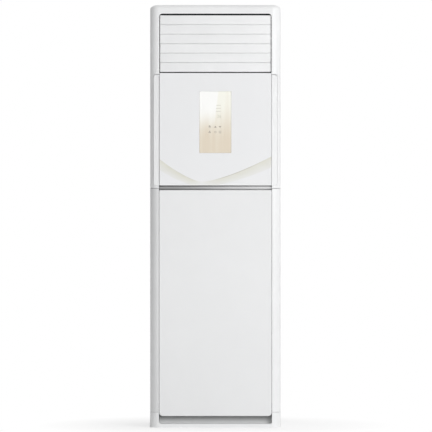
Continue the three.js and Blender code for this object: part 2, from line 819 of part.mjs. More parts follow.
// The passage's outline seen from the side, `grow` outside its inner face.
function ductOutline(grow, overrun) {
  const front = frameBack + fit;
  const back = innerFlangeBack - fit - ductShoulder;
  const shape = new THREE.Shape();
  shape.moveTo(front - overrun, frameTop + grow);
  shape.lineTo(front - overrun, ductMouthBottom - grow);
  shape.lineTo(front + ductShoulder - grow, ductMouthBottom - ductShoulder - grow);
  shape.lineTo(front + ductShoulder - grow, ductBottom - overrun);
  shape.lineTo(back + grow, ductBottom - overrun);
  shape.lineTo(back + grow, frameTop - ductBend);
  shape.absarc(back - ductBend, frameTop - ductBend, ductBend + grow, 0, Math.PI / 2);
  return shape;
}

function outletDuct() {
  const half = outletHalfWidth + ductThickness;
  const skin = alongX(ductOutline(ductThickness, 0), [-half, half]);
  const back = innerFlangeBack - fit - ductShoulder;
  const lugs = [-1, 1].map((side) => {
    const reach = [side * (half - 1), side * insideHalf].sort((a, b) => a - b);
    return block(reach, [back - 2 * ductLug, back - ductLug], [ductMouthBottom, ductMouthBottom + ductLug]);
  });
  return cut(join(skin, lugs), alongX(ductOutline(0, 1), [-outletHalfWidth, outletHalfWidth]));
}

function auxHeater() {
  const half = outletHalfWidth - fit;
  const middle = (frameBack + innerFlangeBack) / 2; // of the duct's foot
  const span = (heaterRods - 1) * heaterPitch;
  const height = ductBottom + heaterRise;
  const reachY = (span + heaterPlate) / 2;
  const ends = [-1, 1].map((side) => {
    const reach = [side * half, side * (half - panSheet)].sort((a, b) => a - b);
    return block(reach, [middle - reachY, middle + reachY],
      [height - heaterPlate / 2, height + heaterPlate / 2]);
  });
  const rods = [];
  for (let number = 0; number < heaterRods; number++) {
    rods.push(rod('x', heaterRodRadius, [-half + 1, half - 1],
      [middle - span / 2 + number * heaterPitch, height], 12));
  }
  return join(ends, rods);
}

// ---------------------------------------------------------------- coil, in its own tilted frame

// It stands in the drain pan and leans back until its top is under the duct.
const panFront = frontY + panSetback;
const panBack = panFront + panDepth;
const panTop = deckHeight + panRise;
const panFloor = panTop - panTroughDepth;
const panMiddle = (panFront + panBack) / 2;
const coilFoot = panFloor + fit;
const coilRise = ductBottom - coilTopGap - coilFoot;
const coilTilt = Math.atan2(innerFlangeBack - coilBackGap - panMiddle, coilRise);
const coilHalfDepth = coilThickness / 2 + endPlateOverhang;
const coilLength = (coilRise - 2 * coilHalfDepth * Math.sin(coilTilt)) / Math.cos(coilTilt);
const coilHeight = coilLength - 2 * endPlateOverhang;
const coilWidth = cabinetWidth - 2 * coilSideRoom;
const coilCentreY = panMiddle + coilLength / 2 * Math.sin(coilTilt);
const coilCentreZ = coilFoot + coilRise / 2;

function evaporatorCoil() {
  const half = coilWidth / 2;
  const slab = block([-half, half], [-coilThickness / 2, coilThickness / 2],
    [-coilHeight / 2, coilHeight / 2]);
  const pitch = (coilWidth - coilFinThickness) / (coilFins - 1);
  const slots = [];
  for (let number = 0; number < coilFins - 1; number++) {
    const left = -half + coilFinThickness + number * pitch;
    const reach = [left, left + pitch - coilFinThickness];
    slots.push(block(reach, [coilWeb / 2, coilThickness], [-coilHeight, coilHeight]));
    slots.push(block(reach, [-coilThickness, -coilWeb / 2], [-coilHeight, coilHeight]));
  }
  return cut(slab, slots);
}

function coilPlate(side) {
  const inner = coilWidth / 2 + fit;
  const outer = inner + endPlateThickness;
  const plate = block([inner, outer], [-coilHalfDepth, coilHalfDepth],
    [-coilLength / 2, coilLength / 2]);
  const bends = [];
  for (let number = 0; number < bendCount; number++) {
    const z = (number - (bendCount - 1) / 2) * bendPitch;
    bends.push(bentRod([
      new THREE.Vector3(outer - 0.8, 0, z - bendRadius),
      new THREE.Vector3(outer + 6, 0, z - bendRadius),
      new THREE.Vector3(outer + bendRadius, 0, z),
      new THREE.Vector3(outer + 6, 0, z + bendRadius),
      new THREE.Vector3(outer - 0.8, 0, z + bendRadius),
    ], coilTubeRadius, 6, 3));
  }
  const right = join(plate, bends);
  return side > 0 ? right : mirrorX(right);
}

// A point given in the coil's tilted frame, in the cabinet's frame.
function coilPoint(x, y, z) {
  return new THREE.Vector3(x, y, z)
    .applyAxisAngle(new THREE.Vector3(1, 0, 0), -coilTilt)
    .add(new THREE.Vector3(0, coilCentreY, coilCentreZ));
}

const pipeX = halfWidth - sidePipeInset;
const gasPipeY = backY - gasPipeSetback;
const liquidPipeY = backY - liquidPipeSetback;

// A pipe from the coil's end plate down the right side, with its flare nut.
function connectionPipe(radius, y, end, localY, localZ) {
  const start = coilPoint(coilWidth / 2 + 2 * fit + endPlateThickness, localY, localZ);
  const turn = 3 * radius + 10;
  const path = [
    start,
    new THREE.Vector3(start.x + pipeLead, start.y, start.z),
    new THREE.Vector3(pipeX - pipeLead / 3, y, start.z - turn),
    new THREE.Vector3(pipeX, y, start.z - 2 * turn),
    new THREE.Vector3(pipeX, y, deckHeight + pipeStraight),
    new THREE.Vector3(pipeX, y, end),
  ];
  const pipe = bentRod(path, radius, 26, 4);
  const nut = rod('z', radius * 1.7, [end - nutLength, end + 2], [pipeX, y], 6);
  return join(pipe, nut);
}

// ---------------------------------------------------------------- drain and deck

const hoseX = -halfWidth + sidePipeInset;
const hoseY = panFront + hoseSetback;

function drainPan() {
  const half = insideHalf - sheet - fit;
  const bottom = panFloor - panWall;
  const trough = cut(block([-half, half], [panFront, panBack], [bottom, panTop]),
    block([-half + panWall, half - panWall],
      [panFront + panWall, panBack - panWall], [panFloor, panTop + 1]));
  const legs = [-1, 1].map((side) => {
    const reach = [side * half, side * (half - panLegWidth)].sort((a, b) => a - b);
    return block(reach, [panFront + panLegSetback, panBack], [deckHeight + sheet + fit, bottom + 1]);
  });
  const spout = rod('z', spoutRadius, [bottom - spoutLength, bottom + 1], [hoseX, hoseY]);
  const drain = rod('z', spoutRadius - 2, [bottom - spoutLength - 1, panTop], [hoseX, hoseY]);
  return cut(join(trough, legs, spout), drain);
}

function drainHose() {
  const top = panFloor - panWall - fit;
  return cut(rod('z', hoseRadius, [hoseBottom, top], [hoseX, hoseY]),
    rod('z', hoseBore, [hoseBottom - 1, top + 1], [hoseX, hoseY]));
}

function midDeck() {
  const front = postBackY + fit + sheet + fit;
  const back = innerFlangeBack - fit;
  const deck = block([-insideHalf, insideHalf], [front, back], [deckHeight, deckHeight + sheet]);
  const discharge = block([dischargeLeft, scrollEnd],
    [housingFront + wall, housingBack - wall], [deckHeight - 1, deckHeight + sheet + 1]);
  const pipes = block([pipeX - 12, pipeX + 12], [liquidPipeY - 9, gasPipeY + 12],
    [deckHeight - 1, deckHeight + sheet + 1]);
  const hose = rod('z', hoseRadius + 1, [deckHeight - 1, deckHeight + sheet + 1], [hoseX, hoseY]);
  return cut(deck, discharge, pipes, hose);
}

// ---------------------------------------------------------------- partition and electrical box

const partitionY = panFront; // back face of the partition lies over the pan's front wall
const boxBack = partitionY - sheet - fit;
const boxFront = boxBack - boxDepth;
const partitionTop = outletBottom - partitionTopGap;
const boxTop = partitionTop - boxTopGap;
const boxBottom = boxTop - boxHeight;

function frontPartition() {
  const height = [panTop + fit, partitionTop];
  const skin = block([-insideHalf, insideHalf], [partitionY - sheet, partitionY], height);
  const returns = [-1, 1].map((side) => {
    const reach = [side * insideHalf, side * (insideHalf - sheet)].sort((a, b) => a - b);
    return block(reach, [partitionY - sheet / 2, partitionY + sheetReturn], height);
  });
  return join(skin, returns);
}

function electricalBox() {
  const half = boxWidth / 2;
  const tray = block([-half, half], [boxFront, boxBack], [boxBottom, boxTop]);
  const hollow = block([-half + boxSheet, half - boxSheet], [boxFront - 1, boxBack - boxSheet],
    [boxBottom + boxSheet, boxTop - boxSheet]);
  const entry = rod('z', boxEntryRadius, [boxBottom - 1, boxBottom + 2],
    [half - boxEntryInset, (boxFront + boxBack) / 2]);
  return cut(tray, hollow, entry);
}

function electricalCover() {
  const half = boxWidth / 2;
  const lid = block([-half, half], [boxFront - fit - boxSheet, boxFront - fit], [boxBottom, boxTop]);
  const slots = [];
  for (let number = 0; number < coverSlots; number++) {
    const z = boxTop - coverSlotDrop - number * coverSlotPitch;
    slots.push(block([-coverSlotWidth / 2, coverSlotWidth / 2],
      [boxFront - 3, boxFront + 1], [z, z + coverSlotHeight]));
  }
  return cut(lid, slots);
}

// The board with what is soldered to it, on standoffs that reach the box.
function mainBoard() {
  const half = boxWidth / 2 - boardSideGap;
  const rear = boxBack - boxSheet - fit;
  const face = rear - standoff - boardThickness;
  const height = [boxBottom + boardEndGap, boxTop - boardEndGap];
  const board = block([-half, half], [face, face + boardThickness], height);
  const inset = boardSideGap / 2;
  const posts = [];
  for (const x of [-half + inset, half - inset]) {
    for (const z of [height[0] + inset, height[1] - inset]) {
      posts.push(rod('y', standoffRadius, [face + 1, rear], [x, z], 8));
    }
  }
  const standing = (tall) => [face - tall, face + 0.5];
  const capacitor = rod('y', capacitorRadius, standing(capacitorHeight),
    [-half + 3 * capacitorRadius, height[0] + capacitorRise]);
  const upper = height[1] - 2 * boardEndGap;
  const transformer = block([-half + inset, -half + inset + transformerSize],
    standing(transformerHeight), [upper - transformerSize, upper]);
  const sink = block([inset, inset + sinkSize], standing(sinkHeight), [upper - sinkSize, upper]);
  const relays = [];
  for (let number = 0; number < relayCount; number++) {
    const left = (number - 1) * relayPitch;
    relays.push(block([left, left + relaySize], standing(relayHeight),
      [height[0] + relayRise, height[0] + relayRise + relaySize]));
  }
  const terminals = block([inset, half - inset], standing(terminalHeight),
    [height[0] + inset, height[0] + inset + terminalSize]);
  return join(board, posts, capacitor, transformer, sink, relays, terminals);
}

// ---------------------------------------------------------------- blower

const housingBack = backY - housingSetback;
const housingFront = housingBack - housingDepth;
const housingSplit = housingFront + housingFrontDepth;
const wheelFront = housingFront + wheelFrontGap;
const wheelBack = housingBack - wheelBackGap;
const bladeInner = wheelRadius - bladeDepth;
const inletRadius = bladeInner - inletGap;
const scrollStart = wheelRadius + tongueGap; // scroll radius at the tongue
const scrollEnd = insideHalf - housingSideGap; // and at the outlet side
const bracketBack = housingBack + fit + bracketSheet;
const motorFront = bracketBack + fit;
const shaftFront = wheelBack - hubLength - shaftNose;
const shaftBack = motorFront + shaftInMotor;

// The scroll's outline, `grow` outside its inner face, open at the top as far as `top`.
function scrollOutline(grow, top) {
  const points = [];
  const turns = 30;
  for (let step = 0; step <= turns; step++) {
    const share = step / turns;
    const angle = radians(tongueAngle + (360 - tongueAngle) * share);
    const radius = scrollStart + (scrollEnd - scrollStart) * share + grow;
    points.push([radius * Math.cos(angle), blowerHeight + radius * Math.sin(angle)]);
  }
  points.push([scrollEnd + grow, top], [dischargeLeft - grow, top]);
  return points;
}

function housingShell() {
  const top = deckHeight - fit;
  const outside = alongY(polygon(scrollOutline(wall, top)), [housingFront, housingBack]);
  const inside = alongY(polygon(scrollOutline(0, top + 1)), [housingFront + wall, housingBack - wall]);
  return cut(outside, inside);
}

function blowerHousingFront() {
  const front = housingShell().intersect(block([-halfWidth, halfWidth],
    [housingFront - 1, housingSplit], [0, deckHeight]));
  const lip = ringAlongY([[inletRadius, housingFront - inletLip], [inletRadius, housingFront + inletLip],
    [inletRadius + wall, housingFront + inletLip], [inletRadius + wall, housingFront + 1],
    [inletRadius + inletFlare, housingFront - inletLip]], [0, blowerHeight]);
  const inlet = rod('y', inletRadius + 0.5, [housingFront - 1, housingFront + wall + 1],
    [0, blowerHeight], 40);
  return join(cut(front, inlet), lip);
}

function blowerHousingRear() {
  const rear = housingShell().intersect(block([-halfWidth, halfWidth],
    [housingSplit + fit, housingBack + 1], [0, deckHeight]));
  const hole = rod('y', rearHoleRadius, [housingBack - wall - 1, housingBack + 1],
    [0, blowerHeight], 32);
  return cut(rear, hole);
}

function blade(angle) {
  const left = [];
  const right = [];
  const steps = 3;
  for (let step = 0; step <= steps; step++) {
    const share = step / steps;
    const radius = bladeInner + (wheelRadius - 2 - bladeInner) * share;
    const turn = angle + radians(bladeSweep) * share * share;
    const half = bladeThickness / 2 / radius;
    left.push([radius * Math.cos(turn - half), radius * Math.sin(turn - half)]);
    right.unshift([radius * Math.cos(turn + half), radius * Math.sin(turn + half)]);
  }
  return alongY(polygon([...left, ...right]), [wheelFront + 1, wheelBack - 1]);
}

// The wheel lies about its own axis.
function blowerWheel() {
  const plate = rod('y', wheelRadius, [wheelBack - wheelPlate, wheelBack], [0, 0], 40);
  const ringInner = wheelRadius - wheelRingWidth;
  const ring = ringAlongY([[ringInner, wheelFront], [wheelRadius, wheelFront],
    [wheelRadius, wheelFront + wheelRing], [ringInner, wheelFront + wheelRing]], [0, 0]);
  const blades = [];
  for (let number = 0; number < bladeCount; number++) {
    blades.push(blade(2 * Math.PI * number / bladeCount));
  }
  const hub = rod('y', hubRadius, [wheelBack - hubLength, wheelBack + 3], [0, 0]);
  const bore = rod('y', shaftRadius + fit, [wheelBack - hubLength - 1, wheelBack + 4], [0, 0], 16);
  return cut(join(plate, ring, hub, blades), bore);
}

function motorShaft() {
  return rod('y', shaftRadius, [shaftFront, shaftBack], [0, 0], 16);
}

function motorBracket() {
  const half = bracketSize / 2;
  const plate = alongY(roundedRect([-half, half], [blowerHeight - half, blowerHeight + half], 20),
    [housingBack + fit, bracketBack]);
  return cut(plate, rod('y', motorNose + 2, [housingBack, bracketBack + 1], [0, blowerHeight]));
}

function fanMotor() {
  const body = rod('y', motorRadius, [motorFront, motorFront + motorLength], [0, blowerHeight], 32);
  const nose = rod('y', motorNose, [housingBack - 4, motorFront + 1], [0, blowerHeight]);
  const bore = rod('y', shaftRadius + fit, [housingBack - 5, shaftBack + 1], [0, blowerHeight], 16);
  return cut(join(body, nose), bore);
}

function blowerStand() {
  const lowest = Math.min(...scrollOutline(wall, deckHeight).map(([, z]) => z));
  const half = standWidth / 2;
  const top = lowest - fit;
  const reach = [housingFront, housingBack];
  const shelf = block([-half, half], reach, [top - panSheet, top]);
  const legs = [-1, 1].map((side) => {
    const x = [side * half, side * (half - panSheet)].sort((a, b) => a - b);
    const foot = [side * half, side * (half + standFoot)].sort((a, b) => a - b);
    const low = panSheet + beadHeight + fit;
    return join(block(x, reach, [low, top]), block(foot, reach, [low, low + panSheet]));
  });
  return join(shelf, legs);
}

// ---------------------------------------------------------------- side intakes

const grillePivotX = halfWidth - grillePivotInset;
const grillePivotZ = intakeBottom + intakeBottomGap + grillePivotInset - 0.5;

// The grille and the filter lie about the grille's pivot line.
function intakeGrille(side) {
  const x = [halfWidth - grilleThickness - grillePivotX, halfWidth - grillePivotX];
  const y = [intakeFront + intakeGap, intakeBack - intakeGap];
  const z = [intakeBottom + intakeBottomGap - grillePivotZ, intakeTop - intakeGap - grillePivotZ];
  const open = [z[0] + grilleBorder, z[1] - grilleBorder];
  const frame = cut(block(x, y, z),
    block([x[0] - 1, x[1] + 1], [y[0] + grilleBorder, y[1] - grilleBorder], open));
  const pitch = (open[1] - open[0]) / (grilleBars + 1);
  const bars = [];
  for (let number = 1; number <= grilleBars; number++) {
    const low = open[0] + number * pitch - grilleBar / 2;
    bars.push(block([x[0] + 1, x[1] - 0.5], [y[0] + 1, y[1] - 1], [low, low + grilleBar]));
  }
  const pins = rod('y', grillePinRadius, [intakeFront - 2, intakeBack + 2], [0, 0], 10);
  const spine = cut(pins, block([-9, 9], [y[0] + 2, y[1] - 2], [-9, 9]));
  const right = join(frame, bars, spine);
  return side > 0 ? right : mirrorX(right);
}

function airFilter(side) {
  const outer = halfWidth - grilleThickness - fit - grillePivotX;
  const x = [outer - filterThickness, outer];
  const y = [intakeFront + filterMargin, intakeBack - filterMargin];
  const z = [intakeBottom + 2 * filterMargin - grillePivotZ, intakeTop - 2 * filterMargin - grillePivotZ];
  const rim = filterMargin + 1;
  const frame = cut(block(x, y, z),
    block([x[0] - 1, x[1] + 1], [y[0] + rim, y[1] - rim], [z[0] + rim, z[1] - rim]));
  const ribs = [];
  for (let number = 1; number <= filterRibs; number++) {
    const low = z[0] + (z[1] - z[0]) * number / (filterRibs + 1);
    ribs.push(block([x[0] + 1, x[1] - 1], [y[0] + 1, y[1] - 1], [low, low + filterRib]));
  }
  const middle = (x[0] + x[1]) / 2;
  const net = block([middle - 0.5, middle + 0.5], [y[0] + 1, y[1] - 1], [z[0] + 1, z[1] - 1]);
  const right = join(frame, ribs, net);
  return side > 0 ? right : mirrorX(right);
}

// ---------------------------------------------------------------- assembly

const airConditioner = new THREE.Group();

function add(name, form, look, parent = airConditioner) {
  const made = mesh(name, form, look);
  parent.add(made);
  return made;
}

add('base_frame', baseFrame(), white);
add('base_pan', basePan(), galvanised);
add('toe_plate', toePlate(), greyPlastic);
add('upper_front_frame', upperFrontFrame(), white);
add('top_cover', topCover(), white);
add('back_panel', backPanel(), warmWhite);
add('pipe_grommet', grommet(pipeHoleX, pipeHoleRadius, 5), rubber);
add('cable_gland', grommet(cableHoleX, cableHoleRadius, 12), rubber);
add('cross_rail', crossRail(), warmWhite);
add('lower_panel', lowerPanel(), white);
add('panel_carrier', panelCarrier(), white);
add('face_sheet', faceSheet(), glossWhite);
add('display_window', displayWindow(), goldGlass);
add('display_board', displayBoard(), boardGreen);

for (const [word, side] of [['left', -1], ['right', 1]]) {
  add(`lower_post_${word}`, lowerPost(side), white);
  add(`side_panel_${word}`, sidePanel(side), warmWhite);
  const intake = new THREE.Group();
  intake.position.set(side * grillePivotX, 0, grillePivotZ);
  add(`intake_grille_${word}`, intakeGrille(side), warmWhite, intake);
  add(`air_filter_${word}`, airFilter(side), filterBlue, intake);
  airConditioner.add(intake);
}

add('outlet_frame', outletFrame(), charcoal);
for (let number = 1; number <= slatCount; number++) {
  add(`slat_${number}`, slat(number === 1), white).position.set(0, slatPivotY, slatHeightAt(number));
}
add('slat_link', slatLink(), greyPlastic).position.set(0,
  slatPivotY + crankRadius * Math.cos(radians(crankAngle)),
  slatHeightAt(1) + crankRadius * Math.sin(radians(crankAngle)));
add('slat_motor', slatMotor(), steel);
for (let number = 1; number <= vaneCount; number++) {
  add(`vane_${number}`, vane(number === 1), charcoal).position.set(vanePlace(number), vanePivotY, 0);
}
add('vane_link', vaneLink(), greyPlastic).position.set(vanePlace(1), vanePivotY + vaneCrank, 0);
add('vane_motor', vaneMotor(), steel);
add('outlet_duct', outletDuct(), foam);
add('aux_heater', auxHeater(), steel);

const coil = new THREE.Group();
coil.rotation.x = -coilTilt;
coil.position.set(0, coilCentreY, coilCentreZ);
add('evaporator_coil', evaporatorCoil(), aluminium, coil);
add('coil_plate_left', coilPlate(-1), copper, coil);
add('coil_plate_right', coilPlate(1), copper, coil);
airConditioner.add(coil);

add('gas_pipe', connectionPipe(gasPipeRadius, gasPipeY, gasPipeEnd,
  headerOffset, coilHeight / 2 - gasHeaderDrop), copper);
add('liquid_pipe', connectionPipe(liquidPipeRadius, liquidPipeY, liquidPipeEnd,
  headerOffset, coilHeight / 2 - liquidHeaderDrop), copper);
add('drain_pan', drainPan(), foam);
add('drain_hose', drainHose(), rubber);
add('mid_deck', midDeck(), galvanised);
add('front_partition', frontPartition(), galvanised);
add('electrical_box', electricalBox(), galvanised);
add('main_board', mainBoard(), boardGreen);
add('electrical_cover', electricalCover(), galvanised);

add('blower_housing_front', blowerHousingFront(), charcoal);
add('blower_housing_rear', blowerHousingRear(), charcoal);
add('blower_wheel', blowerWheel(), charcoal).position.set(0, 0, blowerHeight);
add('motor_shaft', motorShaft(), steel).position.set(0, 0, blowerHeight);
add('motor_bracket', motorBracket(), galvanised);
add('fan_motor', fanMotor(), steel);
add('blower_stand', blowerStand(), galvanised);

export default airConditioner;
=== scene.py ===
# Floor standing air conditioner. Metres, +Z up, the front faces -Y.
# The frame gives every piece its place; the pieces here are the smooth, finished ones.

import json
import math

import bmesh
import bpy
from mathutils import Matrix, Vector

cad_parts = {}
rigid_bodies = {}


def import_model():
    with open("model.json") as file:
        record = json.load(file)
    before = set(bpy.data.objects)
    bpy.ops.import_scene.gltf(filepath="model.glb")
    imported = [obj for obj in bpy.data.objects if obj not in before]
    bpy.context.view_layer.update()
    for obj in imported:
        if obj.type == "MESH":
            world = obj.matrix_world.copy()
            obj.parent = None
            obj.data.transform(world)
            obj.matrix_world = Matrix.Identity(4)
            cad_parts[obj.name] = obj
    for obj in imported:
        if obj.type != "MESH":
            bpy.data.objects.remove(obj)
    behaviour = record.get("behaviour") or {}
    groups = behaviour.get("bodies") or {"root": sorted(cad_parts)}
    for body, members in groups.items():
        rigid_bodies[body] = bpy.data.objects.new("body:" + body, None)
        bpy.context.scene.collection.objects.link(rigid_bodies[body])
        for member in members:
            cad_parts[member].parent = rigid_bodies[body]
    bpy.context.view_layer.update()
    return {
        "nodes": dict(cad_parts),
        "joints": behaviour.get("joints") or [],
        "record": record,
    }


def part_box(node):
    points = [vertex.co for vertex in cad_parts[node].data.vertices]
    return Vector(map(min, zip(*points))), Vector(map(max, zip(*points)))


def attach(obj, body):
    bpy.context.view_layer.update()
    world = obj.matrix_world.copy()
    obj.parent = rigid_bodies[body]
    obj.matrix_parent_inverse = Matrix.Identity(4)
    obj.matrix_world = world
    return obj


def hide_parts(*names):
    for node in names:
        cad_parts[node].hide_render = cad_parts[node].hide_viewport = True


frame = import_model()
nodes = frame["nodes"]
record = frame["record"]
bodyOfNode = {node: body for body, names in record["behaviour"]["bodies"].items() for node in names}
slotOfNode = {part["node"]: part["material_slot"] for part in record["subparts"]}

print("frame loaded:", len(nodes), "nodes")


# what the casing pieces share
cabinet = {
    "cornerRadius": 0.037,      # front edges, seen from above
    "topRoundWidth": 0.032,
    "topRoundHeight": 0.018,
    "wall": 0.003,
    "cornerSteps": 14,
    "edgeRound": 0.0007,
    "seam": 0.0014,              # open line between two casing pieces
    "fit": 0.0003,
    "sink": 0.001,               # joined forms start this far inside each other
    "past": 0.01,                # a cutting form runs this far past a face
    "below": 0.05,               # the outer form starts this far below the floor
    "square": 0.0001,            # radius of a corner that stays square
}

frontLow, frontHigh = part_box("upper_front_frame")
halfWidth = frontHigh.x
frontY = frontLow.y
postBackY = frontHigh.y
cabinetTop = frontHigh.z
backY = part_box("back_panel")[1].y
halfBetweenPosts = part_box("lower_post_right")[0].x


# steps in the nodes of a material or of the sky

def number(tree, operation, first, second=None, third=None, clamp=False):
    # one step of arithmetic in a material; each value is a number or a socket
    node = tree.nodes.new("ShaderNodeMath")
    node.operation = operation
    node.use_clamp = clamp
    for socket, value in zip(node.inputs, (first, second, third)):
        if isinstance(value, bpy.types.NodeSocket):
            tree.links.new(value, socket)
        elif value is not None:
            socket.default_value = value
    return node.outputs[0]


def spread(tree, value, low, high, fromLow=0.3, fromHigh=0.7):
    node = tree.nodes.new("ShaderNodeMapRange")
    node.inputs["From Min"].default_value = fromLow
    node.inputs["From Max"].default_value = fromHigh
    node.inputs["To Min"].default_value = low
    node.inputs["To Max"].default_value = high
    tree.links.new(value, node.inputs["Value"])
    return node.outputs[0]


def ramp(tree, value, start, end):
    # 0 before start, 1 after end, smooth between them; start may be the higher
    node = tree.nodes.new("ShaderNodeMapRange")
    node.interpolation_type = "SMOOTHSTEP"
    node.inputs["From Min"].default_value = start
    node.inputs["From Max"].default_value = end
    tree.links.new(value, node.inputs["Value"])
    return node.outputs[0]


def blendColours(tree, share, first, second):
    node = tree.nodes.new("ShaderNodeMix")
    node.data_type = "RGBA"
    inputs = [socket for socket in node.inputs if socket.type == "RGBA"]
    for socket, colour in zip(inputs, (first, second)):
        if isinstance(colour, bpy.types.NodeSocket):
            tree.links.new(colour, socket)
        else:
            socket.default_value = (*colour, 1)
    tree.links.new(share, node.inputs[0])
    return [socket for socket in node.outputs if socket.type == "RGBA"][0]


def noiseField(tree, scale, detail=3.0, stretch=(1, 1, 1), kind="ShaderNodeTexNoise"):
    coords = tree.nodes.new("ShaderNodeTexCoord")
    mapping = tree.nodes.new("ShaderNodeMapping")
    mapping.inputs["Scale"].default_value = stretch
    field = tree.nodes.new(kind)
    field.inputs["Scale"].default_value = scale
    if "Detail" in field.inputs:
        field.inputs["Detail"].default_value = detail
    tree.links.new(coords.outputs["Object"], mapping.inputs["Vector"])
    tree.links.new(mapping.outputs[0], field.inputs["Vector"])
    return field.outputs["Distance"] if kind == "ShaderNodeTexVoronoi" else field.outputs[0]


def placeIn(tree):
    coords = tree.nodes.new("ShaderNodeTexCoord")
    split = tree.nodes.new("ShaderNodeSeparateXYZ")
    tree.links.new(coords.outputs["Object"], split.inputs[0])
    return split.outputs["X"], split.outputs["Z"]


def bumpFrom(tree, shader, height, strength, distance):
    bump = tree.nodes.new("ShaderNodeBump")
    bump.inputs["Strength"].default_value = strength
    bump.inputs["Distance"].default_value = distance
    tree.links.new(height, bump.inputs["Height"])
    tree.links.new(bump.outputs[0], shader.inputs["Normal"])


# camera, light and floor

view = {
    "photoSize": 432,            # pixels
    "objectTop": 4.6,            # the object's limits in the photograph, in its pixels
    "objectBottom": 427.6,
    "objectMiddle": 215.4,
    "distance": 15,              # from the front face
    "sensor": 36,
}


def makeCamera():
    pixel = cabinetTop / (view["objectBottom"] - view["objectTop"])
    middle = view["photoSize"] / 2
    data = bpy.data.cameras.new("camera")
    data.sensor_width = view["sensor"]
    data.lens = view["sensor"] * view["distance"] / (view["photoSize"] * pixel)
    camera = bpy.data.objects.new("camera", data)
    camera.location = (
        (middle - view["objectMiddle"]) * pixel,
        frontY - view["distance"],
        (view["objectBottom"] - middle) * pixel,
    )
    camera.rotation_euler = (math.radians(90), 0, 0)
    bpy.context.scene.collection.objects.link(camera)
    bpy.context.scene.camera = camera


light = {
    "skyLevel": 0.775,           # what lights the object from all round
    "skyFloorTint": 0.9,         # the lower half of the sky, as a share of the upper
    "skyLeft": 0.3,              # the sky's far left and far right, as shares of its middle
    "skyRight": 1.12,
    "horizon": (-0.3, 0.6),      # a view's upward part where the lower level ends and the upper one begins
    "keyPower": 80,
    "keySize": (1.6, 2.6),
    "keyPlace": (2.6, -4.0, 2.1),
    "fillPower": 15,
    "fillSize": (2.2, 1.0),
    "fillPlace": (0.1, -4.4, 0.45),
    "topPower": 8.5,
    "topSize": (2.2, 2.2),
    "topPlace": (0.2, -0.6, 4.2),
    "aim": (0, 0, 0.9),
}


def areaLamp(name, place, size, power):
    data = bpy.data.lights.new(name, "AREA")
    data.shape = "RECTANGLE"
    data.size, data.size_y = size
    data.energy = power
    lamp = bpy.data.objects.new(name, data)
    lamp.location = place
    aim = Vector(light["aim"]) - Vector(place)
    lamp.rotation_euler = aim.to_track_quat("-Z", "Y").to_euler()
    bpy.context.scene.collection.objects.link(lamp)


def clearRays(tree):
    # 1 for the rays that see the plain white ground: the camera's, mirrored ones and those through glass
    path = tree.nodes.new("ShaderNodeLightPath")
    total = path.outputs["Is Camera Ray"]
    for kind in ("Is Transmission Ray", "Is Glossy Ray"):
        total = number(tree, "MAXIMUM", total, path.outputs[kind])
    return total


def makeWorld():
    world = bpy.data.worlds.new("studio")
    world.use_nodes = True
    tree = world.node_tree
    tree.nodes.clear()
    output = tree.nodes.new("ShaderNodeOutputWorld")
    ground = tree.nodes.new("ShaderNodeTexCoord")
    split = tree.nodes.new("ShaderNodeSeparateXYZ")
    soft = tree.nodes.new("ShaderNodeBackground")
    plain = tree.nodes.new("ShaderNodeBackground")
    plain.inputs["Color"].default_value = (1, 1, 1, 1)
    mix = tree.nodes.new("ShaderNodeMixShader")
    link = tree.links.new
    link(ground.outputs["Generated"], split.inputs[0])
    sky = light["skyLevel"]
    upward = spread(tree, split.outputs["Z"], sky * light["skyFloorTint"], sky, *light["horizon"])
    leftward = spread(tree, split.outputs["X"], light["skyLeft"], 1, -1, 0)
    rightward = spread(tree, split.outputs["X"], 1, light["skyRight"], 0, 1)
    sideways = number(tree, "MULTIPLY", leftward, rightward)
    link(number(tree, "MULTIPLY", upward, sideways), soft.inputs["Strength"])
    link(clearRays(tree), mix.inputs[0])
    link(soft.outputs[0], mix.inputs[1])
    link(plain.outputs[0], mix.inputs[2])
    link(mix.outputs[0], output.inputs[0])
    bpy.context.scene.world = world


floor = {
    "size": 14,
    "colour": (0.98, 0.98, 0.98, 1),
    "clearFrom": 0.25,           # from here outwards the floor fades to plain white
    "clearTo": 0.75,
    "clearShare": 0.62,          # how plain it is already beside the object
}


def makeFloor():
    mesh = bpy.data.meshes.new("floor")
    half = floor["size"] / 2
    corners = [(-half, -half, 0), (half, -half, 0), (half, half, 0), (-half, half, 0)]
    mesh.from_pydata(corners, [], [(0, 1, 2, 3)])
    plane = bpy.data.objects.new("floor", mesh)
    bpy.context.scene.collection.objects.link(plane)
    material = bpy.data.materials.new("studio_floor")
    material.use_nodes = True
    tree = material.node_tree
    tree.nodes.clear()
    output = tree.nodes.new("ShaderNodeOutputMaterial")
    matte = tree.nodes.new("ShaderNodeBsdfDiffuse")
    matte.inputs["Color"].default_value = floor["colour"]
    plain = tree.nodes.new("ShaderNodeEmission")
    plain.inputs["Color"].default_value = (1, 1, 1, 1)
    coords = tree.nodes.new("ShaderNodeTexCoord")
    distance = tree.nodes.new("ShaderNodeVectorMath")
    distance.operation = "LENGTH"
    mix = tree.nodes.new("ShaderNodeMixShader")
    link = tree.links.new
    link(coords.outputs["Object"], distance.inputs[0])
    fade = spread(tree, distance.outputs["Value"], floor["clearShare"], 1,
                  floor["clearFrom"], floor["clearTo"])
    link(number(tree, "MULTIPLY", fade, clearRays(tree)), mix.inputs[0])
    link(matte.outputs[0], mix.inputs[1])
    link(plain.outputs[0], mix.inputs[2])
    link(mix.outputs[0], output.inputs[0])
    mesh.materials.append(material)


makeCamera()
makeWorld()
makeFloor()
areaLamp("key_lamp", light["keyPlace"], light["keySize"], light["keyPower"])
areaLamp("fill_lamp", light["fillPlace"], light["fillSize"], light["fillPower"])
areaLamp("top_lamp", light["topPlace"], light["topSize"], light["topPower"])
bpy.context.scene.view_settings.view_transform = "Standard"

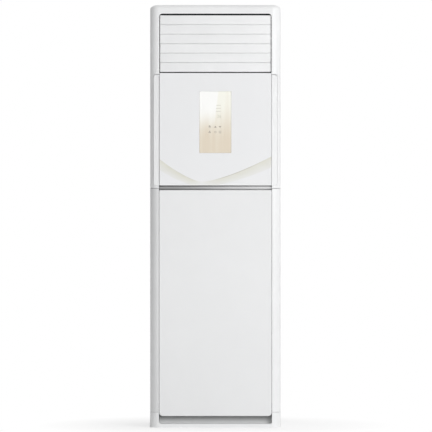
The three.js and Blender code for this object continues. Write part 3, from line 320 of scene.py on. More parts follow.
print("camera, light and floor made")


# finishes

def newFinish(name, colour, roughness, metallic=0.0):
    material = bpy.data.materials.new(name)
    material.use_nodes = True
    shader = material.node_tree.nodes["Principled BSDF"]
    shader.inputs["Base Color"].default_value = (*colour, 1)
    shader.inputs["Roughness"].default_value = roughness
    shader.inputs["Metallic"].default_value = metallic
    return material, material.node_tree, shader


def tinted(colour, share):
    return tuple(min(1, channel * share) for channel in colour)


def mouldedPlastic(name, colour, roughness, grain=1600, depth=0.00003, mottle=0.03):
    material, tree, shader = newFinish(name, colour, roughness)
    cloud = noiseField(tree, 6, 4)
    dull, bright = tinted(colour, 1 - mottle), tinted(colour, 1 + mottle / 2)
    tone = blendColours(tree, spread(tree, cloud, 0, 1), dull, bright)
    tree.links.new(tone, shader.inputs["Base Color"])
    tree.links.new(spread(tree, cloud, roughness - 0.04, roughness + 0.05), shader.inputs["Roughness"])
    bumpFrom(tree, shader, noiseField(tree, grain, 2), 0.25, depth)
    return material


def paintedSteel(name, colour, roughness):
    material, tree, shader = newFinish(name, colour, roughness)
    cloud = noiseField(tree, 5, 4)
    tone = blendColours(tree, spread(tree, cloud, 0, 1), tinted(colour, 0.98), tinted(colour, 1.01))
    tree.links.new(tone, shader.inputs["Base Color"])
    tree.links.new(spread(tree, cloud, roughness - 0.03, roughness + 0.05), shader.inputs["Roughness"])
    bumpFrom(tree, shader, noiseField(tree, 420, 3), 0.22, 0.00006)
    shader.inputs["Coat Weight"].default_value = 0.12
    shader.inputs["Coat Roughness"].default_value = 0.3
    return material


def galvanisedSteel(name, colour, roughness):
    material, tree, shader = newFinish(name, colour, roughness, 0.85)
    spangle = noiseField(tree, 70, kind="ShaderNodeTexVoronoi")
    streak = noiseField(tree, 30, 5)
    tone = blendColours(tree, spread(tree, spangle, 0, 1, 0.1, 0.6),
                        tinted(colour, 0.86), tinted(colour, 1.1))
    tree.links.new(tone, shader.inputs["Base Color"])
    tree.links.new(spread(tree, streak, roughness - 0.1, roughness + 0.15), shader.inputs["Roughness"])
    bumpFrom(tree, shader, spangle, 0.12, 0.0001)
    return material


def brushedMetal(name, colour, roughness, stretch):
    material, tree, shader = newFinish(name, colour, roughness, 0.95)
    streak = noiseField(tree, 90, 6, stretch)
    tone = blendColours(tree, spread(tree, streak, 0, 1), tinted(colour, 0.85), tinted(colour, 1.08))
    tree.links.new(tone, shader.inputs["Base Color"])
    tree.links.new(spread(tree, streak, roughness - 0.08, roughness + 0.14), shader.inputs["Roughness"])
    bumpFrom(tree, shader, streak, 0.1, 0.00005)
    return material


def copperTube(name):
    colour = (0.72, 0.4, 0.25)
    material, tree, shader = newFinish(name, colour, 0.28, 1.0)
    patina = noiseField(tree, 24, 6)
    tone = blendColours(tree, spread(tree, patina, 0, 1, 0.4, 0.75), colour, (0.42, 0.2, 0.13))
    tree.links.new(tone, shader.inputs["Base Color"])
    tree.links.new(spread(tree, patina, 0.2, 0.48), shader.inputs["Roughness"])
    bumpFrom(tree, shader, noiseField(tree, 300, 3, (1, 1, 0.2)), 0.08, 0.00005)
    return material


def paleFoam(name):
    colour = (0.87, 0.87, 0.84)
    material, tree, shader = newFinish(name, colour, 0.9)
    beads = noiseField(tree, 260, kind="ShaderNodeTexVoronoi")
    tone = blendColours(tree, spread(tree, beads, 0, 1, 0.05, 0.6), colour, tinted(colour, 0.93))
    tree.links.new(tone, shader.inputs["Base Color"])
    bumpFrom(tree, shader, beads, 0.35, 0.0003)
    return material


def solderMask(name):
    colour = (0.03, 0.17, 0.08)
    material, tree, shader = newFinish(name, colour, 0.35)
    tracks = noiseField(tree, 130, 0, kind="ShaderNodeTexVoronoi")
    tone = blendColours(tree, spread(tree, tracks, 0, 1, 0.2, 0.3), (0.06, 0.26, 0.12), colour)
    tree.links.new(tone, shader.inputs["Base Color"])
    bumpFrom(tree, shader, tracks, 0.15, 0.0001)
    return material


def gradedPlastic(name, first, second, axis, start, end):
    # plastic whose colour runs from the first to the second along X or Z; here it carries painted shade
    material, tree, shader = newFinish(name, first, 0.45)
    x, z = placeIn(tree)
    cloud = spread(tree, noiseField(tree, 8, 4), -0.03, 0.03)
    share = number(tree, "ADD", ramp(tree, x if axis == "x" else z, start, end), cloud, clamp=True)
    tree.links.new(blendColours(tree, share, first, second), shader.inputs["Base Color"])
    bumpFrom(tree, shader, noiseField(tree, 1600, 2), 0.25, 0.00003)
    return material


# the print on the face sheet: a pale band that climbs to each side
ribbon = {
    "colour": (0.64, 0.63, 0.5),
    "crestColour": (0.42, 0.39, 0.33),
    "footRise": 0.016,           # its lowest stretch over the sheet's foot
    "leftFoot": -0.06,           # where the left band starts to rise, and how far it goes
    "leftReach": 0.172,
    "leftRise": 0.094,
    "rightFoot": -0.05,
    "rightReach": 0.282,
    "rightRise": 0.104,
    "power": 1.45,
    "width": 0.021,              # at the foot
    "widening": 0.026,           # added at the panel's edges
    "soft": 0.0022,              # width of its blurred edge
    "start": (-0.15, 0.3),       # a band fades in between these shares of its reach
    "rightCrest": ((0.1, 0.35), (1, 0.6)),         # its dark upper line fades in and out between these
    "leftCrest": ((0.1, 0.3), (0.75, 0.45)),
    "leftCrestShare": 0.35,
    "crestStrength": 0.75,
    "strength": 0.62,
    "footStrength": 0.3,         # how much of the tint is left at a band's lower edge
}


def ribbonBand(tree, x, z, foot, reach, rise, side):
    # a band that climbs from its foot towards one side: how much of it lies here, and its crest
    along = number(tree, "DIVIDE", number(tree, "MULTIPLY", number(tree, "SUBTRACT", x, foot), side), reach)
    share = number(tree, "MULTIPLY", along, 1, clamp=True)
    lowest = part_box("face_sheet")[0].z + ribbon["footRise"]
    top = number(tree, "MULTIPLY_ADD", number(tree, "POWER", share, ribbon["power"]), rise, lowest)
    wide = number(tree, "MULTIPLY_ADD", share, ribbon["widening"], ribbon["width"])
    above = number(tree, "SUBTRACT", z, top)
    below = number(tree, "ADD", above, wide)
    soft = ribbon["soft"]
    inside = number(tree, "MULTIPLY", ramp(tree, above, soft * 0.3, -soft * 0.3),
                    ramp(tree, below, -soft, soft * 2))
    deep = number(tree, "DIVIDE", number(tree, "MULTIPLY", above, -1), wide, clamp=True)
    inside = number(tree, "MULTIPLY", inside, spread(tree, deep, 1, ribbon["footStrength"], 0.1, 1))
    started = ramp(tree, along, *ribbon["start"])
    crest = number(tree, "MULTIPLY", ramp(tree, above, soft * 0.6, 0), ramp(tree, above, -soft * 1.6, 0))
    return number(tree, "MULTIPLY", inside, started), number(tree, "MULTIPLY", crest, started), along


def between(tree, along, fadeIn, fadeOut):
    return number(tree, "MULTIPLY", ramp(tree, along, *fadeIn), ramp(tree, along, *fadeOut))


def printedAcrylic(name):
    colour = (0.815, 0.82, 0.83)
    material, tree, shader = newFinish(name, colour, 0.1)
    x, z = placeIn(tree)
    left, leftCrest, leftAlong = ribbonBand(tree, x, z, ribbon["leftFoot"], ribbon["leftReach"],
                                            ribbon["leftRise"], -1)
    right, rightCrest, rightAlong = ribbonBand(tree, x, z, ribbon["rightFoot"], ribbon["rightReach"],
                                               ribbon["rightRise"], 1)
    sheer = spread(tree, noiseField(tree, 9, 2, (1, 1, 3)), 0.7, 1.1)
    both = number(tree, "MULTIPLY", number(tree, "MAXIMUM", left, right), sheer)
    tint = number(tree, "MULTIPLY", both, ribbon["strength"], clamp=True)
    tone = blendColours(tree, tint, colour, ribbon["colour"])
    rightCrest = number(tree, "MULTIPLY", rightCrest, between(tree, rightAlong, *ribbon["rightCrest"]))
    leftCrest = number(tree, "MULTIPLY", leftCrest, between(tree, leftAlong, *ribbon["leftCrest"]))
    leftCrest = number(tree, "MULTIPLY", leftCrest, ribbon["leftCrestShare"])
    crest = number(tree, "MAXIMUM", rightCrest, leftCrest)
    tone = blendColours(tree, number(tree, "MULTIPLY", crest, ribbon["crestStrength"]), tone,
                        ribbon["crestColour"])
    tree.links.new(tone, shader.inputs["Base Color"])
    smear = noiseField(tree, 7, 5)
    tree.links.new(spread(tree, smear, 0.07, 0.15), shader.inputs["Roughness"])
    bumpFrom(tree, shader, noiseField(tree, 14, 1), 0.05, 0.0004)
    shader.inputs["Coat Weight"].default_value = 0.6
    shader.inputs["Coat Roughness"].default_value = 0.03
    return material


# the mirrored window, gold towards its foot, with a painted reflection at its upper left and painted shade
# along its right and bottom edges
windowTint = {
    "high": (0.93, 0.925, 0.84),
    "low": (0.75, 0.66, 0.53),
    "fade": (0.1, 0.15),         # the upper colour ends this share below the top, the lower above the foot
    "streaks": 0.16,
    # a painted reflection: a bright corner at the window's upper left
    "paintedReflection": (0.97, 0.97, 0.95),
    "lean": 0.11,                # sideways step of the painted reflection's edge for each step down
    "reflectionEdge": 0.012,         # where the painted reflection's edge meets the window's top
    "reflectionSoft": 0.004,
    "reflectionFade": (0.22, 0.35),  # the painted reflection is full this share below the top and gone this share above the foot
    # painted shade of the recessed pane along its right and bottom edges
    "rim": (0.6, 0.55, 0.48),
    "edgeShadeWidth": 0.007,           # painted shade, darker towards its right and bottom edges
    "edgeShadeShare": 0.3,
}


def goldMirror(name):
    low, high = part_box("display_window")
    tall = high.z - low.z
    material, tree, shader = newFinish(name, windowTint["high"], 0.06, 0.25)
    x, z = placeIn(tree)
    fadeTop, fadeFoot = (share * tall for share in windowTint["fade"])
    downward = ramp(tree, z, high.z - fadeTop, low.z + fadeFoot)
    streaks = noiseField(tree, 60, 3, (1, 1, 0.03))
    uneven = windowTint["streaks"]
    shade = number(tree, "ADD", downward, spread(tree, streaks, -uneven, uneven), clamp=True)
    tone = blendColours(tree, shade, windowTint["high"], windowTint["low"])
    # painted reflection: a bright corner with a leaning edge at the upper left
    edge = number(tree, "MULTIPLY_ADD", number(tree, "SUBTRACT", z, high.z), windowTint["lean"],
                  windowTint["reflectionEdge"])
    beside = number(tree, "SUBTRACT", x, edge)
    soft = windowTint["reflectionSoft"]
    reflectionTop, reflectionFoot = (share * tall for share in windowTint["reflectionFade"])
    corner = number(tree, "MULTIPLY", ramp(tree, beside, soft, -soft),
                    ramp(tree, z, low.z + reflectionFoot, high.z - reflectionTop))
    tone = blendColours(tree, corner, tone, windowTint["paintedReflection"])
    # painted shade towards the right and bottom edges
    edgeShadeWidth = windowTint["edgeShadeWidth"]
    nearShadedEdge = number(tree, "MAXIMUM", ramp(tree, x, high.x - edgeShadeWidth, high.x),
                     ramp(tree, z, low.z + edgeShadeWidth * 0.5, low.z))
    edgeShade = number(tree, "MULTIPLY", nearShadedEdge, windowTint["edgeShadeShare"])
    tone = blendColours(tree, edgeShade, tone, windowTint["rim"])
    tree.links.new(tone, shader.inputs["Base Color"])
    tree.links.new(spread(tree, streaks, 0.05, 0.1), shader.inputs["Roughness"])
    bumpFrom(tree, shader, noiseField(tree, 18, 1), 0.04, 0.0003)
    shader.inputs["Coat Weight"].default_value = 0.5
    shader.inputs["Coat Roughness"].default_value = 0.02
    return material


# painted shade in the finger groove and the toe recess: darker at the groove's left end and at the toe
# plate's top
paintedShade = {
    # the groove's painted shade, dark at its left end and light at its right
    "grooveLeft": (0.3, 0.3, 0.3),
    "grooveRight": (0.7, 0.7, 0.705),
    # the toe plate's painted shade, dark under the lower panel and light at its foot
    "toeTop": (0.34, 0.345, 0.345),
    "toeFoot": (0.68, 0.685, 0.69),
    "toeRange": (0.045, 0.016),  # heights where its painted shade is darkest and lightest
}


looks = {
    "white_plastic": mouldedPlastic("white_plastic", (0.83, 0.835, 0.84), 0.38),
    "white_steel": paintedSteel("white_steel", (0.79, 0.795, 0.8), 0.36),
    "grey_plastic": mouldedPlastic("grey_plastic", (0.42, 0.43, 0.43), 0.5),
    "charcoal_plastic": mouldedPlastic("charcoal_plastic", (0.03, 0.031, 0.033), 0.45, mottle=0.2),
    "galvanised_steel": galvanisedSteel("galvanised_steel", (0.5, 0.51, 0.53), 0.4),
    "plain_steel": brushedMetal("plain_steel", (0.42, 0.43, 0.45), 0.34, (1, 1, 0.1)),
    "fin_aluminium": brushedMetal("fin_aluminium", (0.72, 0.74, 0.77), 0.34, (0.1, 1, 1)),
    "copper": copperTube("copper"),
    "pale_foam": paleFoam("pale_foam"),
    "black_rubber": mouldedPlastic("black_rubber", (0.018, 0.018, 0.019), 0.8, grain=700, mottle=0.3),
    "circuit_board": solderMask("circuit_board"),
    "filter_plastic": mouldedPlastic("filter_plastic", (0.3, 0.4, 0.5), 0.7, mottle=0.08),
    "gloss_white": printedAcrylic("gloss_white"),
    "gold_glass": goldMirror("gold_glass"),
    "key_print": mouldedPlastic("key_print", (0.33, 0.3, 0.26), 0.5, mottle=0.1),
    "faint_print": mouldedPlastic("faint_print", (0.5, 0.5, 0.42), 0.5, mottle=0.1),
    "groove_painted_shade": gradedPlastic("groove_painted_shade", paintedShade["grooveLeft"], paintedShade["grooveRight"],
                                  "x", -halfBetweenPosts, halfBetweenPosts),
    "toe_painted_shade": gradedPlastic("toe_painted_shade", paintedShade["toeTop"], paintedShade["toeFoot"], "z", *paintedShade["toeRange"]),
    "wheel_grey": mouldedPlastic("wheel_grey", (0.085, 0.088, 0.092), 0.42, mottle=0.15),
}

print("finishes made:", len(looks))


# shapes

def meshFrom(points, faces, name="shape"):
    mesh = bpy.data.meshes.new(name)
    mesh.from_pydata([tuple(point) for point in points], [], faces)
    mesh.validate()
    form = bmesh.new()
    form.from_mesh(mesh)
    bmesh.ops.recalc_face_normals(form, faces=form.faces)
    form.to_mesh(mesh)
    form.free()
    return mesh


def stacked(rings):
    # a closed solid through rings of equal length
    count = len(rings[0])
    points = [point for ring in rings for point in ring]
    faces = [tuple(range(count))]
    faces.append(tuple(range(len(points) - count, len(points))))
    for level in range(len(rings) - 1):
        low = level * count
        for step in range(count):
            nextStep = (step + 1) % count
            faces.append((low + step, low + nextStep, low + count + nextStep, low + count + step))
    return meshFrom(points, faces)


def box(low, high):
    corners = [(x, y, z) for z in (low[2], high[2]) for y in (low[1], high[1]) for x in (low[0], high[0])]
    sides = [(0, 1, 3, 2), (4, 5, 7, 6), (0, 1, 5, 4), (2, 3, 7, 6), (0, 2, 6, 4), (1, 3, 7, 5)]
    return meshFrom(corners, sides)


def boxPair(low, high):
    # a block on the right and its like on the left
    return [box(low, high), box((-high[0], low[1], low[2]), (-low[0], high[1], high[2]))]


def arc(centreU, centreV, radius, start, end, steps):
    # points of an arc, angles in degrees
    turns = [math.radians(start + (end - start) * step / steps) for step in range(steps + 1)]
    return [(centreU + radius * math.cos(turn), centreV + radius * math.sin(turn)) for turn in turns]


def roundedRect(low, high, radii, inset=0.0, steps=10):
    # outline with its own radius at the bottom and top corners, taken in by `inset`
    (u0, v0), (u1, v1) = low, high
    bottom, top = (max(radius, inset + 0.00005) for radius in radii)
    outline = []
    outline += arc(u1 - bottom, v0 + bottom, bottom - inset, -90, 0, steps)
    outline += arc(u1 - top, v1 - top, top - inset, 0, 90, steps)
    outline += arc(u0 + top, v1 - top, top - inset, 90, 180, steps)
    outline += arc(u0 + bottom, v0 + bottom, bottom - inset, 180, 270, steps)
    return outline


def upright(outline, y):
    return [(u, y, v) for u, v in outline]


def plate(low, high, front, back, radii, edge=0.0006, edgeSteps=3):
    # an upright plate facing -Y, its front edge rounded by `edge`
    rings = [upright(roundedRect(low, high, radii), back)]
    for step in range(edgeSteps + 1):
        turn = math.radians(90 * step / edgeSteps)
        inset = edge * (1 - math.cos(turn))
        rings.append(upright(roundedRect(low, high, radii, inset), front + edge - edge * math.sin(turn)))
    return stacked(rings)


def rod(axis, radius, reach, centre, sides=32):
    # a round bar; `centre` holds the two other coordinates, in x, y, z order
    circle = arc(centre[0], centre[1], radius, 0, 360, sides)[:-1]
    place = {
        "x": lambda a, b, along: (along, a, b),
        "y": lambda a, b, along: (a, along, b),
    }[axis]
    return stacked([[place(a, b, along) for a, b in circle] for along in reach])


def alongX(profile, reach):
    return stacked([[(x, y, z) for y, z in profile] for x in reach])


def alongY(profile, reach):
    return stacked([[(x, y, z) for x, z in profile] for y in reach])


def moved(mesh, offset=(0, 0, 0), turn=None):
    copy = mesh.copy()
    if turn:
        copy.transform(turn)
    copy.transform(Matrix.Translation(offset))
    return copy


def mirrored(mesh):
    copy = mesh.copy()
    copy.transform(Matrix.Scale(-1, 4, (1, 0, 0)))
    copy.flip_normals()
    return copy


def combine(operation, first, others):
    # a solid after joining, cutting or crossing it with others
    scene = bpy.context.scene
    base = bpy.data.objects.new("base", first)
    scene.collection.objects.link(base)
    group = bpy.data.collections.new("tools")
    for mesh in others:
        group.objects.link(bpy.data.objects.new("tool", mesh))
    modifier = base.modifiers.new("combine", "BOOLEAN")
    modifier.operation = operation
    modifier.operand_type = "COLLECTION"
    modifier.collection = group
    modifier.solver = "EXACT"
    result = evaluated(base)
    for tool in list(group.objects):
        bpy.data.objects.remove(tool)
    bpy.data.collections.remove(group)
    return result


def evaluated(item):
    graph = bpy.context.evaluated_depsgraph_get()
    graph.update()
    result = bpy.data.meshes.new_from_object(item.evaluated_get(graph))
    bpy.data.objects.remove(item)
    return result


def cut(mesh, *tools):
    return combine("DIFFERENCE", mesh, tools)


def joined(mesh, *others):
    return combine("UNION", mesh, others)


def crossed(mesh, tool):
    return combine("INTERSECT", mesh, [tool])


def gathered(meshes):
    # several solids that don't touch, as one mesh
    form = bmesh.new()
    for mesh in meshes:
        form.from_mesh(mesh)
    whole = bpy.data.meshes.new("gathered")
    form.to_mesh(whole)
    form.free()
    return whole


def cleaned(mesh):
    form = bmesh.new()
    form.from_mesh(mesh)
    bmesh.ops.remove_doubles(form, verts=form.verts, dist=0.00001)
    bmesh.ops.dissolve_limit(form, angle_limit=math.radians(0.5), verts=form.verts, edges=form.edges)
    bmesh.ops.recalc_face_normals(form, faces=form.faces)
    form.to_mesh(mesh)
    form.free()
    return mesh


def welded(mesh):
    # without the faces that a rounding leaves on edges too short for it
    form = bmesh.new()
    form.from_mesh(mesh)
    bmesh.ops.remove_doubles(form, verts=form.verts, dist=0.00001)
    bmesh.ops.dissolve_degenerate(form, edges=form.edges, dist=0.000005)
    form.to_mesh(mesh)
    form.free()
    return mesh


def levelled(mesh):
    # large flat faces keep their own normals up to the rounded edge
    item = bpy.data.objects.new("level", mesh)
    bpy.context.scene.collection.objects.link(item)
    modifier = item.modifiers.new("levelling", "WEIGHTED_NORMAL")
    modifier.mode = "FACE_AREA"
    modifier.weight = 100
    modifier.keep_sharp = True
    return evaluated(item)


def softened(mesh, width=0.0006, steps=2, angle=35):
    # rounds every edge sharper than `angle` and shades the rest smooth
    mesh = cleaned(mesh)
    mesh.shade_smooth()
    item = bpy.data.objects.new("soft", mesh)
    bpy.context.scene.collection.objects.link(item)
    modifier = item.modifiers.new("bevel", "BEVEL")
    modifier.width = width
    modifier.segments = steps
    modifier.limit_method = "ANGLE"
    modifier.angle_limit = math.radians(angle)
    modifier.miter_outer = "MITER_ARC"
    return levelled(welded(evaluated(item)))


# pieces

def addPiece(name, mesh, body, slot, look=None):
    mesh.name = name
    mesh.materials.clear()
    mesh.materials.append(look or looks[slot])
    piece = bpy.data.objects.new(name, mesh)
    bpy.context.scene.collection.objects.link(piece)
    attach(piece, body)
    return piece


def dress(node, mesh, look=None):
    # the finished piece that stands for a node, on its body and in its slot
    piece = addPiece(node + "_finished", mesh, bodyOfNode[node], slotOfNode[node], look)
    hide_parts(node)
    return piece


def refined(node, width=0.0005, steps=2):
    return softened(nodes[node].data.copy(), width, steps)


def jointPlace(name):
    return Vector(next(joint["pos_m"] for joint in frame["joints"] if joint["name"] == name))


# casing

def cabinetRing(inset, z, back):
    half = halfWidth - inset
    front = frontY + inset
    radius = max(cabinet["cornerRadius"] - inset, 0.0005)
    steps = cabinet["cornerSteps"]
    outline = [(-half, back)]
    outline += arc(-half + radius, front + radius, radius, 180, 270, steps)
    outline += arc(half - radius, front + radius, radius, 270, 360, steps)
    outline.append((half, back))
    return [(x, y, z) for x, y in outline]


def cabinetForm(inset):
    # the cabinet's outer form taken in by `inset`, open-ended past the back
    width = cabinet["topRoundWidth"] - inset
    height = cabinet["topRoundHeight"]
    shoulder = cabinetTop - inset - height
    back = backY + 2 * cabinet["topRoundWidth"]
    steps = cabinet["cornerSteps"]
    rings = [cabinetRing(inset, -cabinet["below"], back)]
    for step in range(steps + 1):
        turn = math.radians(90 * step / steps)
        taken = inset + width * (1 - math.cos(turn))
        rings.append(cabinetRing(taken, shoulder + height * math.sin(turn), back))
    return stacked(rings)


def cabinetShell():
    return cut(cabinetForm(0), cabinetForm(cabinet["wall"]))


outlet = {
    "cornerRadius": 0.012,
    "lap": 0.002,                # the casing laps the outlet frame's inner face
    "topGap": 0.0046,            # over the first slat's pivot piece
    "borderCorner": 0.0103,      # corners of the cut for the upper panel's borders
    "borderSide": 0.0007,        # gap beside and over those borders
    "borderTop": 0.0017,
    "borderDepth": 0.03,
}


def upperFrontFrame():
    seam = frontLow.z
    carrierLow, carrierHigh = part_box("panel_carrier")
    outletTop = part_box("slat_1")[1].z + outlet["topGap"]
    skin = crossed(cabinetShell(), box((-1, frontY - 1, seam + cabinet["seam"] / 2), (1, postBackY, 2)))
    half = halfBetweenPosts - outlet["lap"]
    ahead = frontY - cabinet["past"]
    mouth = alongY(roundedRect((-half, carrierHigh.z - 2 * cabinet["past"]), (half, outletTop),
                               (cabinet["square"], outlet["cornerRadius"])),
                   (ahead, frontY + cabinet["wall"] + cabinet["sink"]))
    panelHalf = carrierHigh.x + outlet["borderSide"]
    panelTop = carrierHigh.z + outlet["borderTop"]
    corner = outlet["borderCorner"]
    deep = frontY + outlet["borderDepth"]
    panelGap = alongY(roundedRect((-panelHalf, carrierLow.z - cabinet["fit"]), (panelHalf, panelTop),
                                  (corner, corner)), (ahead, deep))
    foot = box((-halfBetweenPosts, ahead, seam - cabinet["past"]),
               (halfBetweenPosts, deep, carrierLow.z + corner))
    return softened(cut(skin, mouth, panelGap, foot), cabinet["edgeRound"])


post = {
    "edgeDepth": 0.025,          # of its inner edge, beside the panels
}


def lowerPost():
    low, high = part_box("lower_post_right")
    foot = low.z + cabinet["seam"] / 2
    top = high.z - cabinet["seam"] / 2
    skin = crossed(cabinetShell(), box((low.x, frontY - 1, foot), (1, postBackY, top)))
    edge = box((low.x, frontY + cabinet["sink"], foot),
               (low.x + cabinet["wall"], frontY + post["edgeDepth"], top))
    return softened(joined(skin, edge), cabinet["edgeRound"])


def topCover():
    low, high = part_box("top_cover")
    skin = crossed(cabinetShell(), box((-1, low.y, low.z), (1, high.y, 2)))
    rear = crossed(cabinetForm(0), box((-1, high.y - cabinet["wall"], low.z), (1, high.y, 2)))
    return softened(joined(skin, rear), cabinet["edgeRound"])


base = {
    "height": 0.063,
    "flare": 0.002,
    "flareSteps": 8,
    "barHeight": 0.015,
    "openingCorner": 0.010,
    "ledgeDepth": 0.0297,
}


def baseFrame():
    wall = cabinet["wall"]
    inner = halfBetweenPosts
    rings = []
    for step in range(base["flareSteps"] + 1):
        share = step / base["flareSteps"]
        flare = base["flare"] * (1 - share) ** 2
        rings.append(cabinetRing(-flare, base["height"] * share, backY))
    opening = alongY(roundedRect((-inner, base["barHeight"]), (inner, base["height"] + 2 * cabinet["past"]),
                                 (base["openingCorner"], 0.001)),
                     (frontY - 2 * cabinet["past"], frontY + wall + cabinet["sink"]))
    shell = cut(stacked(rings), cabinetForm(wall), opening)
    front = frontY + cabinet["sink"]
    back = frontY + base["ledgeDepth"]
    foot = base["barHeight"] - wall
    ledge = box((-inner - wall, front, foot), (inner + wall, back, base["barHeight"]))
    sides = boxPair((inner, front, foot), (inner + wall, back, base["height"]))
    return softened(joined(shell, ledge, *sides), cabinet["edgeRound"])


dress("upper_front_frame", upperFrontFrame())
rightPost = lowerPost()
dress("lower_post_right", rightPost)
dress("lower_post_left", mirrored(rightPost))
dress("top_cover", topCover())
dress("base_frame", baseFrame())

print("casing made")


# panels

lowerPanel = {
    "cornerLow": 0.0145,
    "cornerHigh": 0.004,
    "edgeRound": 0.0028,
    "return": 0.020,
    "sideGap": 0.0012,
    "footDrop": 0.0028,          # its foot reaches this much below the plain solid's
    "sheet": 0.001,
    "frontSheet": 0.0016,
    "pinRadius": 0.003,
    "pinRoot": 0.0008,           # how far a pin starts inside its side
}


def lowerPanelMesh():
    low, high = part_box("lower_panel")
    half = halfBetweenPosts - lowerPanel["sideGap"]
    radii = (lowerPanel["cornerLow"], lowerPanel["cornerHigh"])
    foot = low.z - lowerPanel["footDrop"]
    skin = plate((-half, foot), (half, high.z), low.y, low.y + lowerPanel["return"], radii,
                 lowerPanel["edgeRound"], 6)
    sheet = lowerPanel["sheet"]
    hollow = alongY(roundedRect((-half + sheet, foot + sheet), (half - sheet, high.z - sheet),
                                (radii[0] - sheet, radii[1] - sheet)),
                    (low.y + lowerPanel["frontSheet"], high.y + cabinet["past"]))
    pivot = jointPlace("lower_door_tilt")
    pinRoot = half - lowerPanel["pinRoot"]
    pins = [rod("x", lowerPanel["pinRadius"], reach, (pivot.y, pivot.z))
            for reach in ((-high.x, -pinRoot), (pinRoot, high.x))]
    return softened(joined(cut(skin, hollow), *pins), 0.0003, 2, 40)


carrier = {
    "cornerRadius": 0.010,
    "step": 0.0015,              # behind the cabinet's front
    "droop": 0.0022,             # how far its sides fall back
    "droopWidth": 0.034,
    "droopSteps": 8,
    "depth": 0.014,
    "edgeRound": 0.0016,
    "windowRim": 0.010,
    "grooveWidth": 0.0024,       # beside the face sheet
    "grooveDepth": 0.006,
}


def carrierSection(low, high, front, back):
    # seen from above: a flat middle whose sides fall back towards the posts
    section = []
    for step in range(carrier["droopSteps"] + 1):
        share = 1 - step / carrier["droopSteps"]
        section.append((low.x + carrier["droopWidth"] * (1 - share), front + carrier["droop"] * share ** 2))
    section += [(-x, y) for x, y in reversed(section)]
    return section + [(high.x, back), (low.x, back)]


def panelCarrier():
    low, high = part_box("panel_carrier")
    front = frontY + carrier["step"]
    back = front + carrier["depth"]
    corner = carrier["cornerRadius"]
    wall = cabinet["wall"]
    section = carrierSection(low, high, front, back)
    slab = stacked([[(x, y, z) for x, y in section] for z in (low.z, high.z)])
    outline = alongY(roundedRect((low.x, low.z), (high.x, high.z), (corner, corner)),
                     (frontY - cabinet["past"], back + cabinet["past"]))
    hollow = box((low.x + wall, front + carrier["droop"] + wall, low.z + wall),
                 (high.x - wall, back + 1, high.z - wall))
    windowLow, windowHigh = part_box("display_window")
    rim = carrier["windowRim"]
    aperture = box((windowLow.x + rim, frontY - 1, windowLow.z + rim),
                   (windowHigh.x - rim, 1, windowHigh.z - rim))
    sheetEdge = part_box("face_sheet")[1].x
    grooveBack = front + carrier["grooveDepth"]
    grooves = boxPair((sheetEdge, frontY - 1, low.z - 1),
                      (sheetEdge + carrier["grooveWidth"], grooveBack, high.z + 1))
    ledges = boxPair((sheetEdge - wall, grooveBack - cabinet["sink"] / 2, low.z + wall / 2),
                     (sheetEdge + 2 * wall, back - cabinet["sink"], high.z - wall / 2))
    plain = softened(cut(crossed(slab, outline), hollow, aperture), carrier["edgeRound"], 3)
    return softened(cut(joined(plain, *ledges), *grooves), 0.0002, 1, 60)


sheetShape = {
    "cornerRadius": 0.003,
    "edgeRound": 0.0011,
}


def faceSheet():
    low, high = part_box("face_sheet")
    windowLow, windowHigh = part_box("display_window")
    corner = sheetShape["cornerRadius"]
    skin = plate((low.x, low.z), (high.x, high.z), low.y, high.y, (corner, corner),
                 sheetShape["edgeRound"], 5)
    gap = cabinet["fit"]
    seat = box((windowLow.x - gap, low.y - cabinet["past"], windowLow.z - gap),
               (windowHigh.x + gap, high.y + cabinet["past"], windowHigh.z + gap))
    return softened(cut(skin, seat), 0.0004, 2, 40)


dress("lower_panel", lowerPanelMesh())
dress("panel_carrier", panelCarrier())
dress("face_sheet", faceSheet())

print("panels made")


# display window and the signs printed behind its glass

window = {
    "faceStep": 0.0002,          # the glass lies this far inside its seat
    "edgeRound": 0.0008,
    "cornerRadius": 0.002,
    "printDepth": 0.0004,
    "printRise": 0.0001,         # out of the glass
    "barLength": 0.020,
    "barHeight": 0.0012,
    "barPitch": 0.0125,
    "barsDown": 0.0702,          # the middle bar, below the window's top
    "barsMiddle": 0.0125,        # to the right of the window's middle
    "digitHeight": 0.0125,
    "digitsDown": 0.1042,
    "digitsMiddle": 0.0155,
    "fontShare": 1.4,            # a font's size for the height of its numerals
    "keyRows": (0.1472, 0.1687),
    "keyColumns": (-0.0238, 0.0, 0.0190),
    "keySize": 0.0054,
    "ringShare": 0.8,            # a ring's radius and line, as shares of a key's size
    "lineShare": 0.28,
}

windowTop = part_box("display_window")[1].z


def printRange():
    # from the front to the back of a printed sign
    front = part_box("display_window")[0].y + window["faceStep"] - window["printRise"]
    return front, front + window["printDepth"]


def printedText(word, height, centreX, centreZ):
    curve = bpy.data.curves.new("numerals", "FONT")
    curve.body = word
    curve.size = height * window["fontShare"]
    curve.align_x = "CENTER"
    curve.align_y = "CENTER"
    curve.extrude = window["printDepth"] / 2
    item = bpy.data.objects.new("numerals", curve)
    bpy.context.scene.collection.objects.link(item)
    mesh = welded(evaluated(item))
    turn = Matrix.Rotation(math.radians(90), 4, "X")
    return moved(mesh, (centreX, sum(printRange()) / 2, centreZ), turn)


def printedShape(outline):
    return alongY(outline, printRange())


def printedBar(centreX, centreZ, length, height):
    radius = height / 2.1
    return printedShape(roundedRect((centreX - length / 2, centreZ - height / 2),
                                    (centreX + length / 2, centreZ + height / 2), (radius, radius), 0, 3))


def printedRing(centreX, centreZ, radius, line):
    return cut(rod("y", radius, printRange(), (centreX, centreZ)),
               rod("y", radius - line, (-1, 1), (centreX, centreZ)))


def triangleMark(centreX, centreZ, size, upward):
    tip = size if upward else -size
    return printedShape([(centreX - size, centreZ - tip * 0.6), (centreX + size, centreZ - tip * 0.6),
                         (centreX, centreZ + tip * 0.8)])


